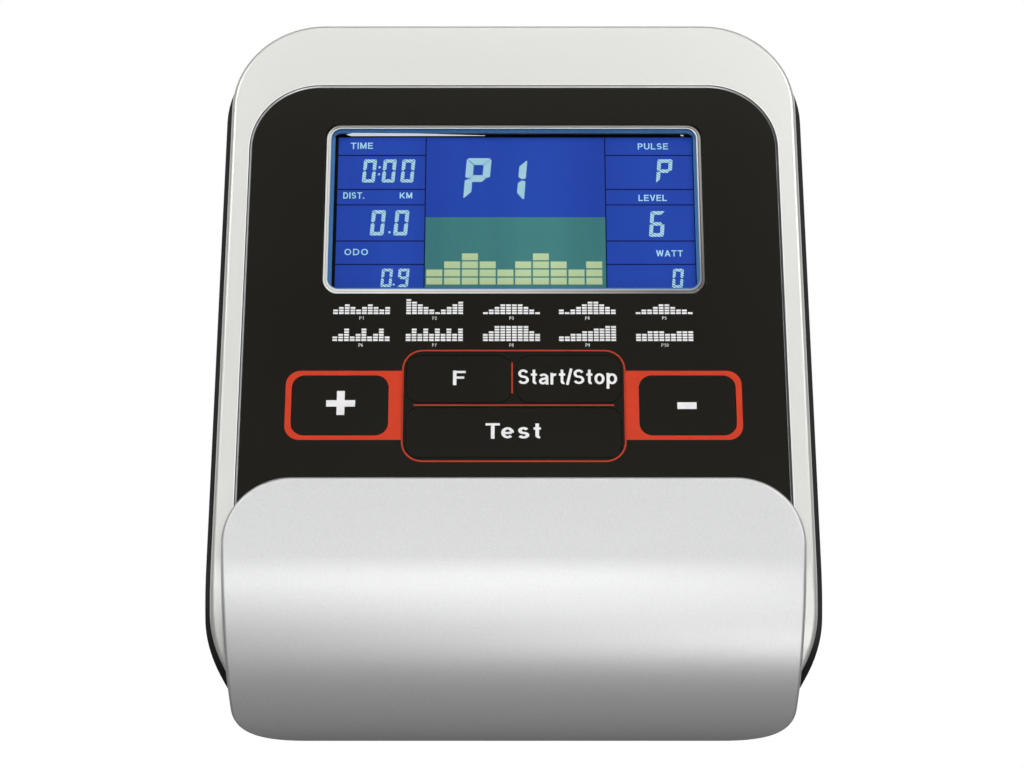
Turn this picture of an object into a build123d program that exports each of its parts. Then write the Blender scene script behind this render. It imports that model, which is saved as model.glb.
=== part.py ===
from build123d import *
import os

os.makedirs("parts", exist_ok=True)

# Training computer of an elliptical trainer: a display head with a rolled lower edge
# that bolts to the bracket on the mast.  All sizes are in millimetres.
#
# Frame: X runs to the user's right, Y away from the user and Z up along the face.
# The origin is the centre of the bracket bolt pattern, on the pad at the back.
# "Depth" is measured from the flat front face towards the back.

# ------------------------------------------------------------------ driving sizes
# Display window, from which the width of the console is built up
lens_width = 156.5
lens_height = 76.0
lens_corner = 5.0
lens_thickness = 1.7
lens_bevel = 0.9              # drop of the bevel round the lens
lens_bevel_width = 2.2
ledge_width = 3.0            # how far the deck reaches in under the lens
ledge_thickness = 0.8
tape_thickness = 0.2

# Face, stacked from the top edge of the roll cover upwards
cover_top = 18.0             # top edge of the roll cover above the bracket centre
keys_above_cover = 9.3       # lowest key above the cover
icon_band = 27.1             # upper keys to the lens, where the programs are printed
fascia_top_margin = 17.2     # lens to the top of the fascia film
fascia_side_margin = 30.65   # lens to the side of the fascia film
fascia_corner = 28.0
fascia_under_cover = 18.0    # how far the film runs down under the roll cover
top_band = 29.7              # housing left bare above the film
side_band = 9.1              # housing left bare beside the film

# Keys
adjust_key_width = 38.3      # plus and minus
adjust_key_height = 24.9
centre_key_width = 85.6      # the whole centre block
upper_key_height = 19.9
lower_key_height = 20.7
key_web = 2.4                # deck left between the centre keys
key_bar = 7.4                # centre block to the plus and minus keys
adjust_key_rise = 21.85      # lowest key's bottom to the middle of plus and minus
key_corner = 5.0
key_gap = 0.25               # clearance round each key
key_wall = 1.2
key_flange = 0.6             # how far the flange reaches behind the deck
key_flange_thickness = 1.0
key_stem_diameter = 5.0
key_rest_gap = 0.1           # flange to deck when the key is up
key_travel = 0.5
well_wall = 1.2
well_height = 2.6

# Housing
console_depth = 70.0         # front face to bracket pad
top_depth = 36.0             # depth at the top edge
face_corner = 38.0
lower_corner = 38.0
lower_corner_drop = 2.0      # the lower corners run out this far below the roll
roll_drop = 15.0             # roll axis below the bracket centre
heel_radius = 12.0           # where the bottom turns up into the back
slope_start = 60.0           # height at which the back starts to lean forward
slope_blend = 120.0
front_wall = 3.0
rear_wall = 2.5
band_depth = 10.0            # depth of the front housing behind the face and the roll
rear_step = 3.0              # how far the rear housing stands out beside the front one
rim_width = 8.0              # rim of the rear housing, on which the front housing seats
rim_thickness = 2.0
face_edge_round = 2.0
rim_edge_round = 0.5
back_edge_round = 5.0

# Fascia
recess_depth = 1.0
recess_bevel = 0.8
film_thickness = 0.5
film_gap = 0.25
window_gap = 0.2

# Roll cover
cover_inset = 4.4            # front housing left bare beside the cover
cover_proud = 4.0
cover_lean = 2.6             # how far each side leans in from the roll axis to the bottom
cover_wall = 2.5
cover_corner = 26.5
cover_edge_round = 1.4
skirt_depth = 12.0           # reach of the cover's side walls behind the roll
cover_boss_diameter = 7.0
cover_boss_gap = 0.2
cover_boss_short = 0.4       # boss ends this far before the inner face of the housing
cover_screw_drop = 7.0       # cover screws above the roll axis
cover_screw_inner = 30.0
cover_screw_edge = 18.0      # outer cover screws from the cover's side

# Display module
lcd_depth = 5.0              # face to the front glass
lcd_border_x = 4.25          # lens edge to the picture, sideways
lcd_border_z = 3.6
lcd_seal_x = 3.0             # picture to the edge of the glass, sideways
lcd_seal_z = 5.6
lcd_ledge = 4.0              # contact ledge that the rear glass leaves bare
lcd_glass_thickness = 1.1
lcd_frame_wall = 3.8
lcd_frame_gap = 0.2
gasket_inset = 0.5           # gasket back from the aperture and from the glass edge
guide_side = 4.0             # light guide back from the edge of the glass
guide_gap = 0.2
guide_thickness = 3.0
reflector_thickness = 0.3
zebra_width = 2.0
led_width = 1.6
led_height = 3.0
led_tall = 3.2
led_count = 5
led_pitch = 13.0

# Circuit board
board_depth = 11.0           # face to the front side of the board
board_thickness = 1.6
board_margin = 6.0
board_side_room = 2.0
board_corner = 3.0
board_post_diameter = 6.0
board_post_edge = 4.0
pilot_floor = 1.0            # left unbored at the foot of a board post
switch_size = 6.0
switch_height = 3.5
bore_spare = 0.2             # room left under a plunger that is pressed home
plunger_diameter = 3.5
plunger_proud = 1.3
plunger_length = 2.0
plunger_gap = 0.1

# Screws and inserts
board_screw_core = 2.2
board_screw_head = 5.0
board_screw_length = 7.0
frame_screw_core = 1.6
frame_screw_head = 3.6
frame_screw_length = 5.0
housing_screw_core = 2.6
housing_screw_head = 5.6
housing_screw_length = 12.0
cover_screw_core = 2.6
cover_screw_head = 10.0
cover_screw_length = 4.6
screw_clearance = 0.3        # radial, in every hole that a screw passes through
head_height = 1.8
head_bevel = 0.6
post_diameter = 9.0
post_joint = 20.0            # depth at which front posts and rear tubes meet
post_inset = 11.0            # side posts from the outside of the front housing
top_post_drop = 17.4
top_post_inset = 38.0
lower_post_x = 62.0
lower_post_drop = 20.0       # lower posts below the top of the cover
tube_floor = 4.0
well_gap = 0.6               # radial, screw head in its well
well_over = 1.0              # wells are cut from this far behind the pad

# Bracket mount
pad_width = 96.0
pad_height_z = 86.0
pad_corner = 8.0
pad_rise = 2.0
pad_bevel = 0.8
bolt_spacing_x = 70.0
bolt_spacing_z = 60.0
insert_outer = 7.0
insert_bore = 4.2
insert_length = 8.0
boss_diameter = 12.0
boss_length = 14.0
insert_blind = 2.0           # room beyond the insert for the bolt's end
boss_rib = 2.0
boss_rib_depth = 8.0
inlet_diameter = 16.0
grommet_flange = 3.0
grommet_lip = 1.5
grommet_bore = 10.0

# Board parts on the rear side
chip_size = 14.0
chip_height = 1.6
chip_pins = 9
chip_pin_pitch = 1.3
chip_pin_width = 0.5
chip_pin_reach = 1.2
chip_pin_thickness = 0.5
chip_bevel = 0.3
buzzer_diameter = 12.0
buzzer_height = 7.0
buzzer_port = 2.0
sound_ring = 8.0             # circle of sound holes behind the buzzer
sound_holes = 6
buzzer_x = 55.0
buzzer_below_lcd = 12.0
header_width = 7.5
header_height = 9.0
header_wall = 1.0
pin_pitch = 2.5
pin_size = 0.6
pin_length = 6.0
harness_pins = 8
pulse_pins = 4
header_spread = 34.0
header_rise = 22.5           # headers above the board's lower edge
can_diameter = 8.0
can_height = 11.0
can_spacing_x = 48.0
can_spacing_z = 24.0
regulator_size = 10.0
regulator_height = 4.5
regulator_spacing = 80.0

# ------------------------------------------------------------------ derived places
face_y = -console_depth
roll_radius = console_depth - pad_rise - heel_radius
roll_y = face_y + roll_radius
roll_z = -roll_drop
bottom_z = roll_z - roll_radius
back_y = -pad_rise

keys_bottom = cover_top + keys_above_cover
upper_keys_bottom = keys_bottom + lower_key_height + key_web
keys_top = upper_keys_bottom + upper_key_height
lens_bottom = keys_top + icon_band
lens_z = lens_bottom + lens_height / 2
lens_top = lens_bottom + lens_height
film_top = lens_top + fascia_top_margin
film_bottom = cover_top - fascia_under_cover
face_top = film_top + top_band

film_half = lens_width / 2 + fascia_side_margin
face_half = film_half + side_band
rear_half = face_half + rear_step
cover_half = face_half - cover_inset
cover_radius = roll_radius + cover_proud

film_depth = recess_depth - film_thickness          # front side of the film
aperture_width = lens_width - 2 * ledge_width
aperture_height = lens_height - 2 * ledge_width
ledge_depth = front_wall - ledge_thickness
lens_back = ledge_depth - tape_thickness

picture_width = lens_width - 2 * lcd_border_x
picture_height = lens_height - 2 * lcd_border_z
glass_width = picture_width + 2 * lcd_seal_x
glass_height = picture_height + 2 * lcd_seal_z
rear_glass_depth = lcd_depth + lcd_glass_thickness
guide_depth = rear_glass_depth + lcd_glass_thickness + guide_gap
frame_width = glass_width + 2 * (lcd_frame_gap + lcd_frame_wall)
frame_height = glass_height + 2 * (lcd_frame_gap + lcd_frame_wall)
board_back = board_depth + board_thickness

upper_key_width = (centre_key_width - key_web) / 2
adjust_x = centre_key_width / 2 + key_bar + adjust_key_width / 2
upper_x = (centre_key_width - upper_key_width) / 2
upper_z = upper_keys_bottom + upper_key_height / 2
lower_z = keys_bottom + lower_key_height / 2
adjust_z = keys_bottom + adjust_key_rise

# name: (x, z, width, height)
keys = {
    "plus": (-adjust_x, adjust_z, adjust_key_width, adjust_key_height),
    "minus": (adjust_x, adjust_z, adjust_key_width, adjust_key_height),
    "function": (-upper_x, upper_z, upper_key_width, upper_key_height),
    "start_stop": (upper_x, upper_z, upper_key_width, upper_key_height),
    "test": (0, lower_z, centre_key_width, lower_key_height),
}


# ------------------------------------------------------------------ helpers
def at_depth(depth):
    """Sketch plane at a depth behind the face: X by Z, extruding towards the user."""
    return Plane.XZ.offset(console_depth - depth)


def finish(piece, name):
    """Label a finished piece and write its STEP file."""
    piece.part.label = name
    export_step(piece.part, f"parts/{name}.step")


def rounded(x, z, width, height, radius, mode=Mode.ADD):
    """Rounded rectangle in the sketch that is open."""
    with Locations((x, z)):
        RectangleRounded(width, height, radius, mode=mode)


# ------------------------------------------------------------------ housing form
tolerance = 0.1              # slack in picking an edge or a face by its place
facing = 0.6                 # a skin's normals point at least this much along their axis

# Side view, Y by Z: flat face, roll, heel, back and the slope that thins the top.
with BuildSketch(Plane.YZ) as side_view:
    with BuildLine():
        face_line = Line((face_y, face_top), (face_y, roll_z))
        CenterArc((roll_y, roll_z), roll_radius, 180, 90)
        CenterArc((roll_y, bottom_z + heel_radius), heel_radius, 270, 90)
        back_line = Line((back_y, bottom_z + heel_radius), (back_y, slope_start))
        slope_line = Line(back_line @ 1, (face_y + top_depth, face_top))
        Line(slope_line @ 1, face_line @ 0)
    make_face()
    fillet(vertices().filter_by(lambda v: abs(v.Y - slope_start) < tolerance), slope_blend)


def console_form(half_width, top_radius, inset=0.0):
    """The housing's outer form, or an inner one inset by a wall."""
    plan_bottom = bottom_z - lower_corner_drop
    section = offset(side_view.sketch, amount=-inset) if inset else side_view.sketch
    with BuildPart() as form:
        with BuildSketch(Plane.XZ):
            with Locations((0, (face_top + plan_bottom) / 2)):
                Rectangle(2 * (half_width - inset), face_top - plan_bottom - 2 * inset)
            fillet(vertices().group_by(Axis.Y)[-1], top_radius - inset)
            fillet(vertices().group_by(Axis.Y)[0], lower_corner - inset)
        extrude(amount=console_depth)
        extrude(section, amount=half_width, both=True, mode=Mode.INTERSECT)
    return form.part


def band_zone(depth):
    """Everything in front of a surface that follows the face and the roll at a depth."""
    radius = roll_radius - depth
    outside = 2 * cover_proud
    with BuildPart() as zone:
        with BuildSketch(Plane.YZ):
            with BuildLine():
                Polyline(
                    (roll_y - radius, roll_z),
                    (roll_y - radius, face_top + outside),
                    (face_y - outside, face_top + outside),
                    (face_y - outside, bottom_z - outside),
                    (roll_y, bottom_z - outside),
                    (roll_y, roll_z - radius),
                )
                CenterArc((roll_y, roll_z), radius, 180, 90)
            make_face()
        extrude(amount=rear_half + outside, both=True)
    return zone.part


def outline_of(skin):
    """Edges round a skin of faces, without the joins between its faces."""
    every = skin.edges()
    return every.filter_by(lambda e: sum(e.is_same(other) for other in every) == 1)


front_zone = band_zone(band_depth)

# Front block: the silver band, filleted round its face and down the roll.
with BuildPart() as front_block:
    add(console_form(face_half, face_corner))
    add(front_zone, mode=Mode.INTERSECT)
    rim = outline_of(faces().filter_by(lambda f: f.normal_at().Y < -facing))
    fillet(rim.filter_by(lambda e: e.center().Y < roll_y - tolerance), face_edge_round)

# Rear block: everything behind the band, a step wider, rounded round its back.
with BuildPart() as rear_block:
    add(console_form(rear_half, face_corner + rear_step))
    add(front_zone, mode=Mode.SUBTRACT)
    rim = outline_of(faces().filter_by(lambda f: f.normal_at().Y > facing))
    fillet(rim.filter_by(lambda e: e.center().Y > roll_y + tolerance), back_edge_round)
    seam = faces().filter_by(lambda f: f.normal_at().Y < -facing and f.center().Y < roll_y - tolerance)
    fillet(outline_of(seam).filter_by(lambda e: e.center().Y < roll_y - tolerance), rim_edge_round)


# ------------------------------------------------------------------ front housing
side_post_z = (keys_top + lens_bottom) / 2
post_places = [
    (-(face_half - top_post_inset), face_top - top_post_drop),
    (face_half - top_post_inset, face_top - top_post_drop),
    (-(face_half - post_inset), side_post_z),
    (face_half - post_inset, side_post_z),
    (-lower_post_x, cover_top - lower_post_drop),
    (lower_post_x, cover_top - lower_post_drop),
]

board_half = adjust_x + adjust_key_width / 2 + well_wall + board_margin + board_side_room
board_low = keys_bottom - board_margin
board_high = lens_z + frame_height / 2 + board_margin
board_post_x = board_half - board_post_edge
board_post_places = [
    (side * board_post_x, height)
    for side in (-1, 1)
    for height in (board_low + board_post_edge, side_post_z, board_high - board_post_edge)
]

cover_screw_outer = cover_half - cover_screw_edge
cover_screw_z = roll_z + cover_screw_drop
cover_screw_places = [
    (x, cover_screw_z)
    for x in (-cover_screw_outer, -cover_screw_inner, cover_screw_inner, cover_screw_outer)
]

front_cavity = console_form(face_half, face_corner, inset=front_wall)
recess_half = film_half + film_gap
recess_top = film_top + film_gap
recess_low = film_bottom - film_gap
centre_block = (0, (keys_bottom + keys_top) / 2, centre_key_width, keys_top - keys_bottom)

with BuildPart() as front_housing:
    add(front_block.part)
    add(front_cavity, mode=Mode.SUBTRACT)
    # recess for the fascia film, with its bevelled shoulder
    with BuildSketch(at_depth(recess_depth)) as recess:
        with Locations((0, (recess_top + recess_low) / 2)):
            Rectangle(2 * recess_half, recess_top - recess_low)
        fillet(recess.vertices().group_by(Axis.Y)[-1], fascia_corner + film_gap)
    extrude(amount=recess_depth, mode=Mode.SUBTRACT)
    shoulder = faces().sort_by(Axis.Y)[0].inner_wires()[0]
    chamfer(shoulder.edges(), recess_bevel)
    # seat for the lens, and the window through it
    with BuildSketch(at_depth(ledge_depth)):
        rounded(0, lens_z, lens_width + 2 * window_gap, lens_height + 2 * window_gap, lens_corner + window_gap)
    extrude(amount=ledge_depth, mode=Mode.SUBTRACT)
    with BuildSketch(at_depth(front_wall)):
        rounded(0, lens_z, aperture_width, aperture_height, lens_corner - ledge_width / 2)
    extrude(amount=front_wall, mode=Mode.SUBTRACT)
    # wells that keep the keys square
    with BuildSketch(at_depth(front_wall + well_height)):
        for x, z, width, height in (keys["plus"], keys["minus"], centre_block):
            reach = 2 * (key_gap + key_flange + key_gap + well_wall)
            rounded(x, z, width + reach, height + reach, key_corner + reach / 2)
        for x, z, width, height in (keys["plus"], keys["minus"], centre_block):
            reach = 2 * (key_gap + key_flange + key_gap)
            rounded(x, z, width + reach, height + reach, key_corner + reach / 2, mode=Mode.SUBTRACT)
    extrude(amount=well_height)
    # posts for the board and for the housing screws
    with BuildSketch(at_depth(board_depth)):
        with Locations(*board_post_places):
            Circle(board_post_diameter / 2)
    extrude(amount=board_depth - front_wall)
    with BuildSketch(at_depth(post_joint)):
        with Locations(*post_places):
            Circle(post_diameter / 2)
    extrude(amount=post_joint - front_wall)
    # key openings, pilot holes and the holes for the cover's bosses
    with BuildSketch(at_depth(front_wall)):
        for x, z, width, height in keys.values():
            rounded(x, z, width + 2 * key_gap, height + 2 * key_gap, key_corner + key_gap)
        with Locations(*cover_screw_places):
            Circle(cover_boss_diameter / 2 + cover_boss_gap)
    extrude(amount=front_wall, mode=Mode.SUBTRACT)
    with BuildSketch(at_depth(board_depth)):
        with Locations(*board_post_places):
            Circle(board_screw_core / 2)
    extrude(amount=board_depth - front_wall - pilot_floor, mode=Mode.SUBTRACT)
    with BuildSketch(at_depth(post_joint)):
        with Locations(*post_places):
            Circle(housing_screw_core / 2)
    extrude(amount=housing_screw_length, mode=Mode.SUBTRACT)
finish(front_housing, "front_housing")


# ------------------------------------------------------------------ rear housing
tube_floor_depth = post_joint + tube_floor
well_radius = housing_screw_head / 2 + well_gap
tube_diameter = 2 * well_radius + 2 * key_wall

rear_inner = console_form(rear_half, face_corner + rear_step, inset=rear_wall)
rim_inner = console_form(rear_half, face_corner + rear_step, inset=rim_width)
rim_zone = band_zone(band_depth + rim_thickness)

# The cavity is narrow inside the rim and full width behind it.
with BuildPart() as rear_cavity:
    add(rear_inner)
    add(rim_zone, mode=Mode.SUBTRACT)
    add(rim_inner)

# Screw tubes, cut off flush with the sloping back.
with BuildPart() as screw_tubes:
    with BuildSketch(at_depth(console_depth)):
        with Locations(*post_places):
            Circle(tube_diameter / 2)
    extrude(amount=console_depth - post_joint)
    add(rear_block.part, mode=Mode.INTERSECT)

buzzer_z = lens_z - frame_height / 2 - buzzer_below_lcd

with BuildPart() as rear_housing:
    add(rear_block.part)
    add(rear_cavity.part, mode=Mode.SUBTRACT)
    add(screw_tubes.part)
    # bracket pad with its four bosses, tied together by a rib
    with BuildSketch(Plane.XZ) as pad:
        RectangleRounded(pad_width, pad_height_z, pad_corner)
    extrude(amount=pad_rise + rear_wall / 2)
    chamfer(faces().sort_by(Axis.Y)[-1].edges(), pad_bevel)
    with BuildSketch(Plane.XZ.offset(pad_rise)):
        with GridLocations(bolt_spacing_x, bolt_spacing_z, 2, 2):
            Circle(boss_diameter / 2)
    extrude(amount=boss_length - pad_rise)
    with BuildSketch(Plane.XZ.offset(pad_rise)):
        Rectangle(bolt_spacing_x + boss_rib, bolt_spacing_z + boss_rib)
        Rectangle(bolt_spacing_x - boss_rib, bolt_spacing_z - boss_rib, mode=Mode.SUBTRACT)
    extrude(amount=rear_wall + boss_rib_depth)
    # insert holes
    with BuildSketch(Plane.XZ):
        with GridLocations(bolt_spacing_x, bolt_spacing_z, 2, 2):
            Circle(insert_outer / 2)
    extrude(amount=insert_length + insert_blind, mode=Mode.SUBTRACT)
    # cable inlet, with a step for the grommet's flange
    with BuildSketch(Plane.XZ):
        Circle(inlet_diameter / 2)
    extrude(amount=pad_rise + rear_wall, mode=Mode.SUBTRACT)
    with BuildSketch(Plane.XZ):
        Circle(inlet_diameter / 2 + grommet_flange)
    extrude(amount=grommet_lip, mode=Mode.SUBTRACT)
    # wells for the housing screws, and the clearance holes in their floors
    with BuildSketch(at_depth(console_depth + well_over)):
        with Locations(*post_places):
            Circle(well_radius)
    extrude(amount=console_depth + well_over - tube_floor_depth, mode=Mode.SUBTRACT)
    with BuildSketch(at_depth(tube_floor_depth)):
        with Locations(*post_places):
            Circle(housing_screw_core / 2 + screw_clearance)
    extrude(amount=tube_floor, mode=Mode.SUBTRACT)
    # sound holes behind the buzzer
    with BuildSketch(at_depth(console_depth)):
        with Locations((buzzer_x, buzzer_z)):
            Circle(buzzer_port / 2)
            with PolarLocations(sound_ring / 2, sound_holes):
                Circle(buzzer_port / 2)
    extrude(amount=console_depth - post_joint, mode=Mode.SUBTRACT)
finish(rear_housing, "rear_housing")


# ------------------------------------------------------------------ roll cover
def cover_side(z):
    """Half the cover's width at a height."""
    return cover_half - cover_lean * (roll_z - z) / cover_radius


def cover_form(inset):
    """The hood's outer form, or its inside inset by the wall.  Both reach back to the skirt's edge."""
    outer = cover_radius - inset
    inner = roll_radius - skirt_depth
    top = cover_top - inset
    bottom = roll_z - cover_radius
    with BuildPart() as form:
        with BuildSketch(Plane.YZ):
            with BuildLine():
                Polyline(
                    (roll_y - outer, roll_z),
                    (roll_y - outer, top),
                    (roll_y - inner, top),
                    (roll_y - inner, roll_z),
                )
                CenterArc((roll_y, roll_z), inner, 180, 90)
                Polyline((roll_y, roll_z - inner), (roll_y, roll_z - outer))
                CenterArc((roll_y, roll_z), outer, 180, 90)
            make_face()
        extrude(amount=face_half, both=True)
        if inset:
            split(bisect_by=Plane.XZ.offset(inset - roll_y), keep=Keep.TOP)
        with BuildSketch(Plane.XZ) as plan:
            with BuildLine():
                Polyline(
                    (cover_side(bottom) - inset, bottom),
                    (cover_side(top) - inset, top),
                    (inset - cover_side(top), top),
                    (inset - cover_side(bottom), bottom),
                    close=True,
                )
            make_face()
            fillet(plan.vertices().group_by(Axis.Y)[-1], cover_corner - inset)
        extrude(amount=console_depth + 2 * cover_proud, mode=Mode.INTERSECT)
        upright = edges().filter_by(Axis.Z, tolerance=2 * cover_lean)
        fillet(upright.group_by(Axis.Y)[-1], cover_corner - inset)
    return form.part


cover_outside = cover_form(0)
cover_inside = cover_form(cover_wall)
boss_depth = front_wall - cover_boss_short         # depth at which the cover's bosses end

with BuildPart() as roll_cover:
    add(cover_outside)
    skin = faces().filter_by(
        lambda f: f.normal_at().Y < tolerance - 1
        or f.geom_type == GeomType.CYLINDER and abs(f.radius - cover_radius) < tolerance
    )
    fillet(outline_of(skin), cover_edge_round)
    add(cover_inside, mode=Mode.SUBTRACT)
    # trimmed to the housing that it wraps, so the skirt shows only past the round corners
    add(front_block.part, mode=Mode.SUBTRACT)
    add(rear_block.part, mode=Mode.SUBTRACT)
    with BuildSketch(at_depth(boss_depth)):
        with Locations(*cover_screw_places):
            Circle(cover_boss_diameter / 2)
    extrude(amount=boss_depth + cover_proud - cover_wall)
    with BuildSketch(at_depth(boss_depth)):
        with Locations(*cover_screw_places):
            Circle(cover_screw_core / 2)
    extrude(amount=cover_screw_length + screw_clearance, mode=Mode.SUBTRACT)
finish(roll_cover, "roll_cover")


# ------------------------------------------------------------------ fascia and window
with BuildPart() as fascia_film:
    with BuildSketch(at_depth(recess_depth)):
        with Locations((0, (film_top + film_bottom) / 2)):
            Rectangle(2 * film_half, film_top - film_bottom)
        fillet(vertices().group_by(Axis.Y)[-1], fascia_corner)
        rounded(
            0, lens_z, lens_width + 2 * window_gap, lens_height + 2 * window_gap,
            lens_corner + window_gap, mode=Mode.SUBTRACT,
        )
        for x, z, width, height in keys.values():
            rounded(x, z, width + 2 * key_gap, height + 2 * key_gap, key_corner + key_gap, mode=Mode.SUBTRACT)
    extrude(amount=film_thickness)
finish(fascia_film, "fascia_film")

with BuildPart() as display_lens:
    with BuildSketch(at_depth(lens_back)):
        rounded(0, lens_z, lens_width, lens_height, lens_corner)
    extrude(amount=lens_thickness)
    lens_front = faces().sort_by(Axis.Y)[0]
    chamfer(lens_front.edges(), lens_bevel_width, lens_bevel, reference=lens_front)
finish(display_lens, "display_lens")

with BuildPart() as lens_tape:
    with BuildSketch(at_depth(ledge_depth)):
        rounded(0, lens_z, lens_width, lens_height, lens_corner)
        rounded(0, lens_z, aperture_width, aperture_height, lens_corner - ledge_width / 2, mode=Mode.SUBTRACT)
    extrude(amount=tape_thickness)
finish(lens_tape, "lens_tape")

with BuildPart() as dust_gasket:
    with BuildSketch(at_depth(lcd_depth)):
        rounded(0, lens_z, lens_width - 2 * gasket_inset, lens_height - 2 * gasket_inset, lens_corner)
        rounded(
            0, lens_z, aperture_width + 2 * gasket_inset, aperture_height + 2 * gasket_inset,
            lens_corner - ledge_width / 2, mode=Mode.SUBTRACT,
        )
    extrude(amount=lcd_depth - front_wall)
finish(dust_gasket, "dust_gasket")


# ------------------------------------------------------------------ display module
def slab(front_depth, thickness, width, height):
    """Flat plate behind the window, with its front side at a depth."""
    with BuildPart() as plate:
        with BuildSketch(at_depth(front_depth + thickness)):
            with Locations((0, lens_z)):
                Rectangle(width, height)
        extrude(amount=thickness)
    return plate


rear_glass_height = glass_height - 2 * lcd_ledge
guide_width = glass_width - 2 * guide_side
guide_height = rear_glass_height - 2 * gasket_inset

lcd_front_glass = slab(lcd_depth, lcd_glass_thickness, glass_width, glass_height)
lcd_rear_glass = slab(rear_glass_depth, lcd_glass_thickness, glass_width, rear_glass_height)
light_guide = slab(guide_depth, guide_thickness, guide_width, guide_height)
reflector_sheet = slab(guide_depth + guide_thickness, reflector_thickness, guide_width, guide_height)
finish(lcd_front_glass, "lcd_front_glass")
finish(lcd_rear_glass, "lcd_rear_glass")
finish(light_guide, "light_guide")
finish(reflector_sheet, "reflector_sheet")

frame_screw_x = (frame_width - lcd_frame_wall) / 2
frame_screw_z = glass_height / 2 - lcd_ledge
frame_screw_places = [
    (side * frame_screw_x, lens_z + end * frame_screw_z) for side in (-1, 1) for end in (-1, 1)
]

with BuildPart() as lcd_frame:
    with BuildSketch(at_depth(board_depth)):
        rounded(0, lens_z, frame_width, frame_height, board_corner)
        with Locations((0, lens_z)):
            Rectangle(glass_width + 2 * lcd_frame_gap, glass_height + 2 * lcd_frame_gap, mode=Mode.SUBTRACT)
    extrude(amount=board_depth - lcd_depth)
    with BuildSketch(at_depth(board_depth)):
        with Locations(*frame_screw_places):
            Circle(frame_screw_core / 2)
    extrude(amount=frame_screw_length - board_thickness + screw_clearance, mode=Mode.SUBTRACT)
finish(lcd_frame, "lcd_frame")

# Conductive rubber strips between the contact ledges of the front glass and the board
with BuildPart() as zebra_strips:
    with BuildSketch(at_depth(board_depth)):
        with Locations((0, lens_z)):
            with GridLocations(1, glass_height - lcd_ledge, 1, 2):
                Rectangle(guide_width, zebra_width)
    extrude(amount=board_depth - rear_glass_depth)
finish(zebra_strips, "zebra_strips")

with BuildPart() as backlight_leds:
    with BuildSketch(at_depth(board_depth)):
        with Locations((0, lens_z)):
            with GridLocations(guide_width + led_width + 2 * guide_gap, led_pitch, 2, led_count):
                Rectangle(led_width, led_height)
    extrude(amount=led_tall)
finish(backlight_leds, "backlight_leds")


# ------------------------------------------------------------------ circuit board
board_z = (board_high + board_low) / 2

with BuildPart() as main_board:
    with BuildSketch(at_depth(board_back)):
        rounded(0, board_z, 2 * board_half, board_high - board_low, board_corner)
        with Locations(*board_post_places):
            Circle(board_screw_core / 2 + screw_clearance, mode=Mode.SUBTRACT)
        with Locations(*frame_screw_places):
            Circle(frame_screw_core / 2 + screw_clearance, mode=Mode.SUBTRACT)
    extrude(amount=board_thickness)
finish(main_board, "main_board")

chip_z = lens_z - frame_height / 4
with BuildPart() as controller_chip:
    with BuildSketch(at_depth(board_back + chip_height)):
        with Locations((0, chip_z)):
            Rectangle(chip_size, chip_size)
    extrude(amount=chip_height)
    chamfer(faces().sort_by(Axis.Y)[-1].edges(), chip_bevel)
    with BuildSketch(at_depth(board_back + chip_pin_thickness)):
        with Locations((0, chip_z)):
            with GridLocations(chip_pin_pitch, 0, chip_pins, 1):
                Rectangle(chip_pin_width, chip_size + 2 * chip_pin_reach)
            with GridLocations(0, chip_pin_pitch, 1, chip_pins):
                Rectangle(chip_size + 2 * chip_pin_reach, chip_pin_width)
    extrude(amount=chip_pin_thickness)
finish(controller_chip, "controller_chip")

with BuildPart() as board_components:
    with BuildSketch(at_depth(board_back + can_height)):
        with Locations((0, chip_z)):
            with GridLocations(can_spacing_x, can_spacing_z, 2, 2):
                Circle(can_diameter / 2)
    extrude(amount=can_height)
    chamfer(faces().filter_by(Axis.Y).group_by(Axis.Y)[-1].edges(), chip_bevel)
    with BuildSketch(at_depth(board_back + regulator_height)):
        with Locations((0, chip_z)):
            with GridLocations(regulator_spacing, 1, 2, 1):
                Rectangle(regulator_size, regulator_size)
    extrude(amount=regulator_height)
finish(board_components, "board_components")

with BuildPart() as buzzer:
    with BuildSketch(at_depth(board_back + buzzer_height)):
        with Locations((buzzer_x, buzzer_z)):
            Circle(buzzer_diameter / 2)
    extrude(amount=buzzer_height)
    with BuildSketch(at_depth(board_back + buzzer_height)):
        with Locations((buzzer_x, buzzer_z)):
            Circle(buzzer_port / 2)
    extrude(amount=buzzer_height / 2, mode=Mode.SUBTRACT)
finish(buzzer, "buzzer")


def pin_header(name, x, pins):
    """Plug socket on the back of the board, open towards the back, with its row of pins."""
    z = board_low + header_rise
    width = (pins + 1) * pin_pitch + 2 * header_wall
    with BuildPart() as header:
        with BuildSketch(at_depth(board_back + header_height)):
            with Locations((x, z)):
                Rectangle(width, header_width)
        extrude(amount=header_height)
        with BuildSketch(at_depth(board_back + header_height)):
            with Locations((x, z)):
                Rectangle(width - 2 * header_wall, header_width - 2 * header_wall)
        extrude(amount=header_height - header_wall, mode=Mode.SUBTRACT)
        with BuildSketch(at_depth(board_back + pin_length)):
            with Locations((x, z)):
                with GridLocations(pin_pitch, 1, pins, 1):
                    Rectangle(pin_size, pin_size)
        extrude(amount=pin_length)
    finish(header, name)


pin_header("harness_header", -header_spread, harness_pins)
pin_header("pulse_header", header_spread, pulse_pins)


# ------------------------------------------------------------------ switches and keys
switch_front = board_depth - switch_height
switch_bore_depth = plunger_length - plunger_proud + key_travel + bore_spare
plunger_top = switch_front - plunger_proud
switch_places = [(x, z) for x, z, width, height in keys.values()]

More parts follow.
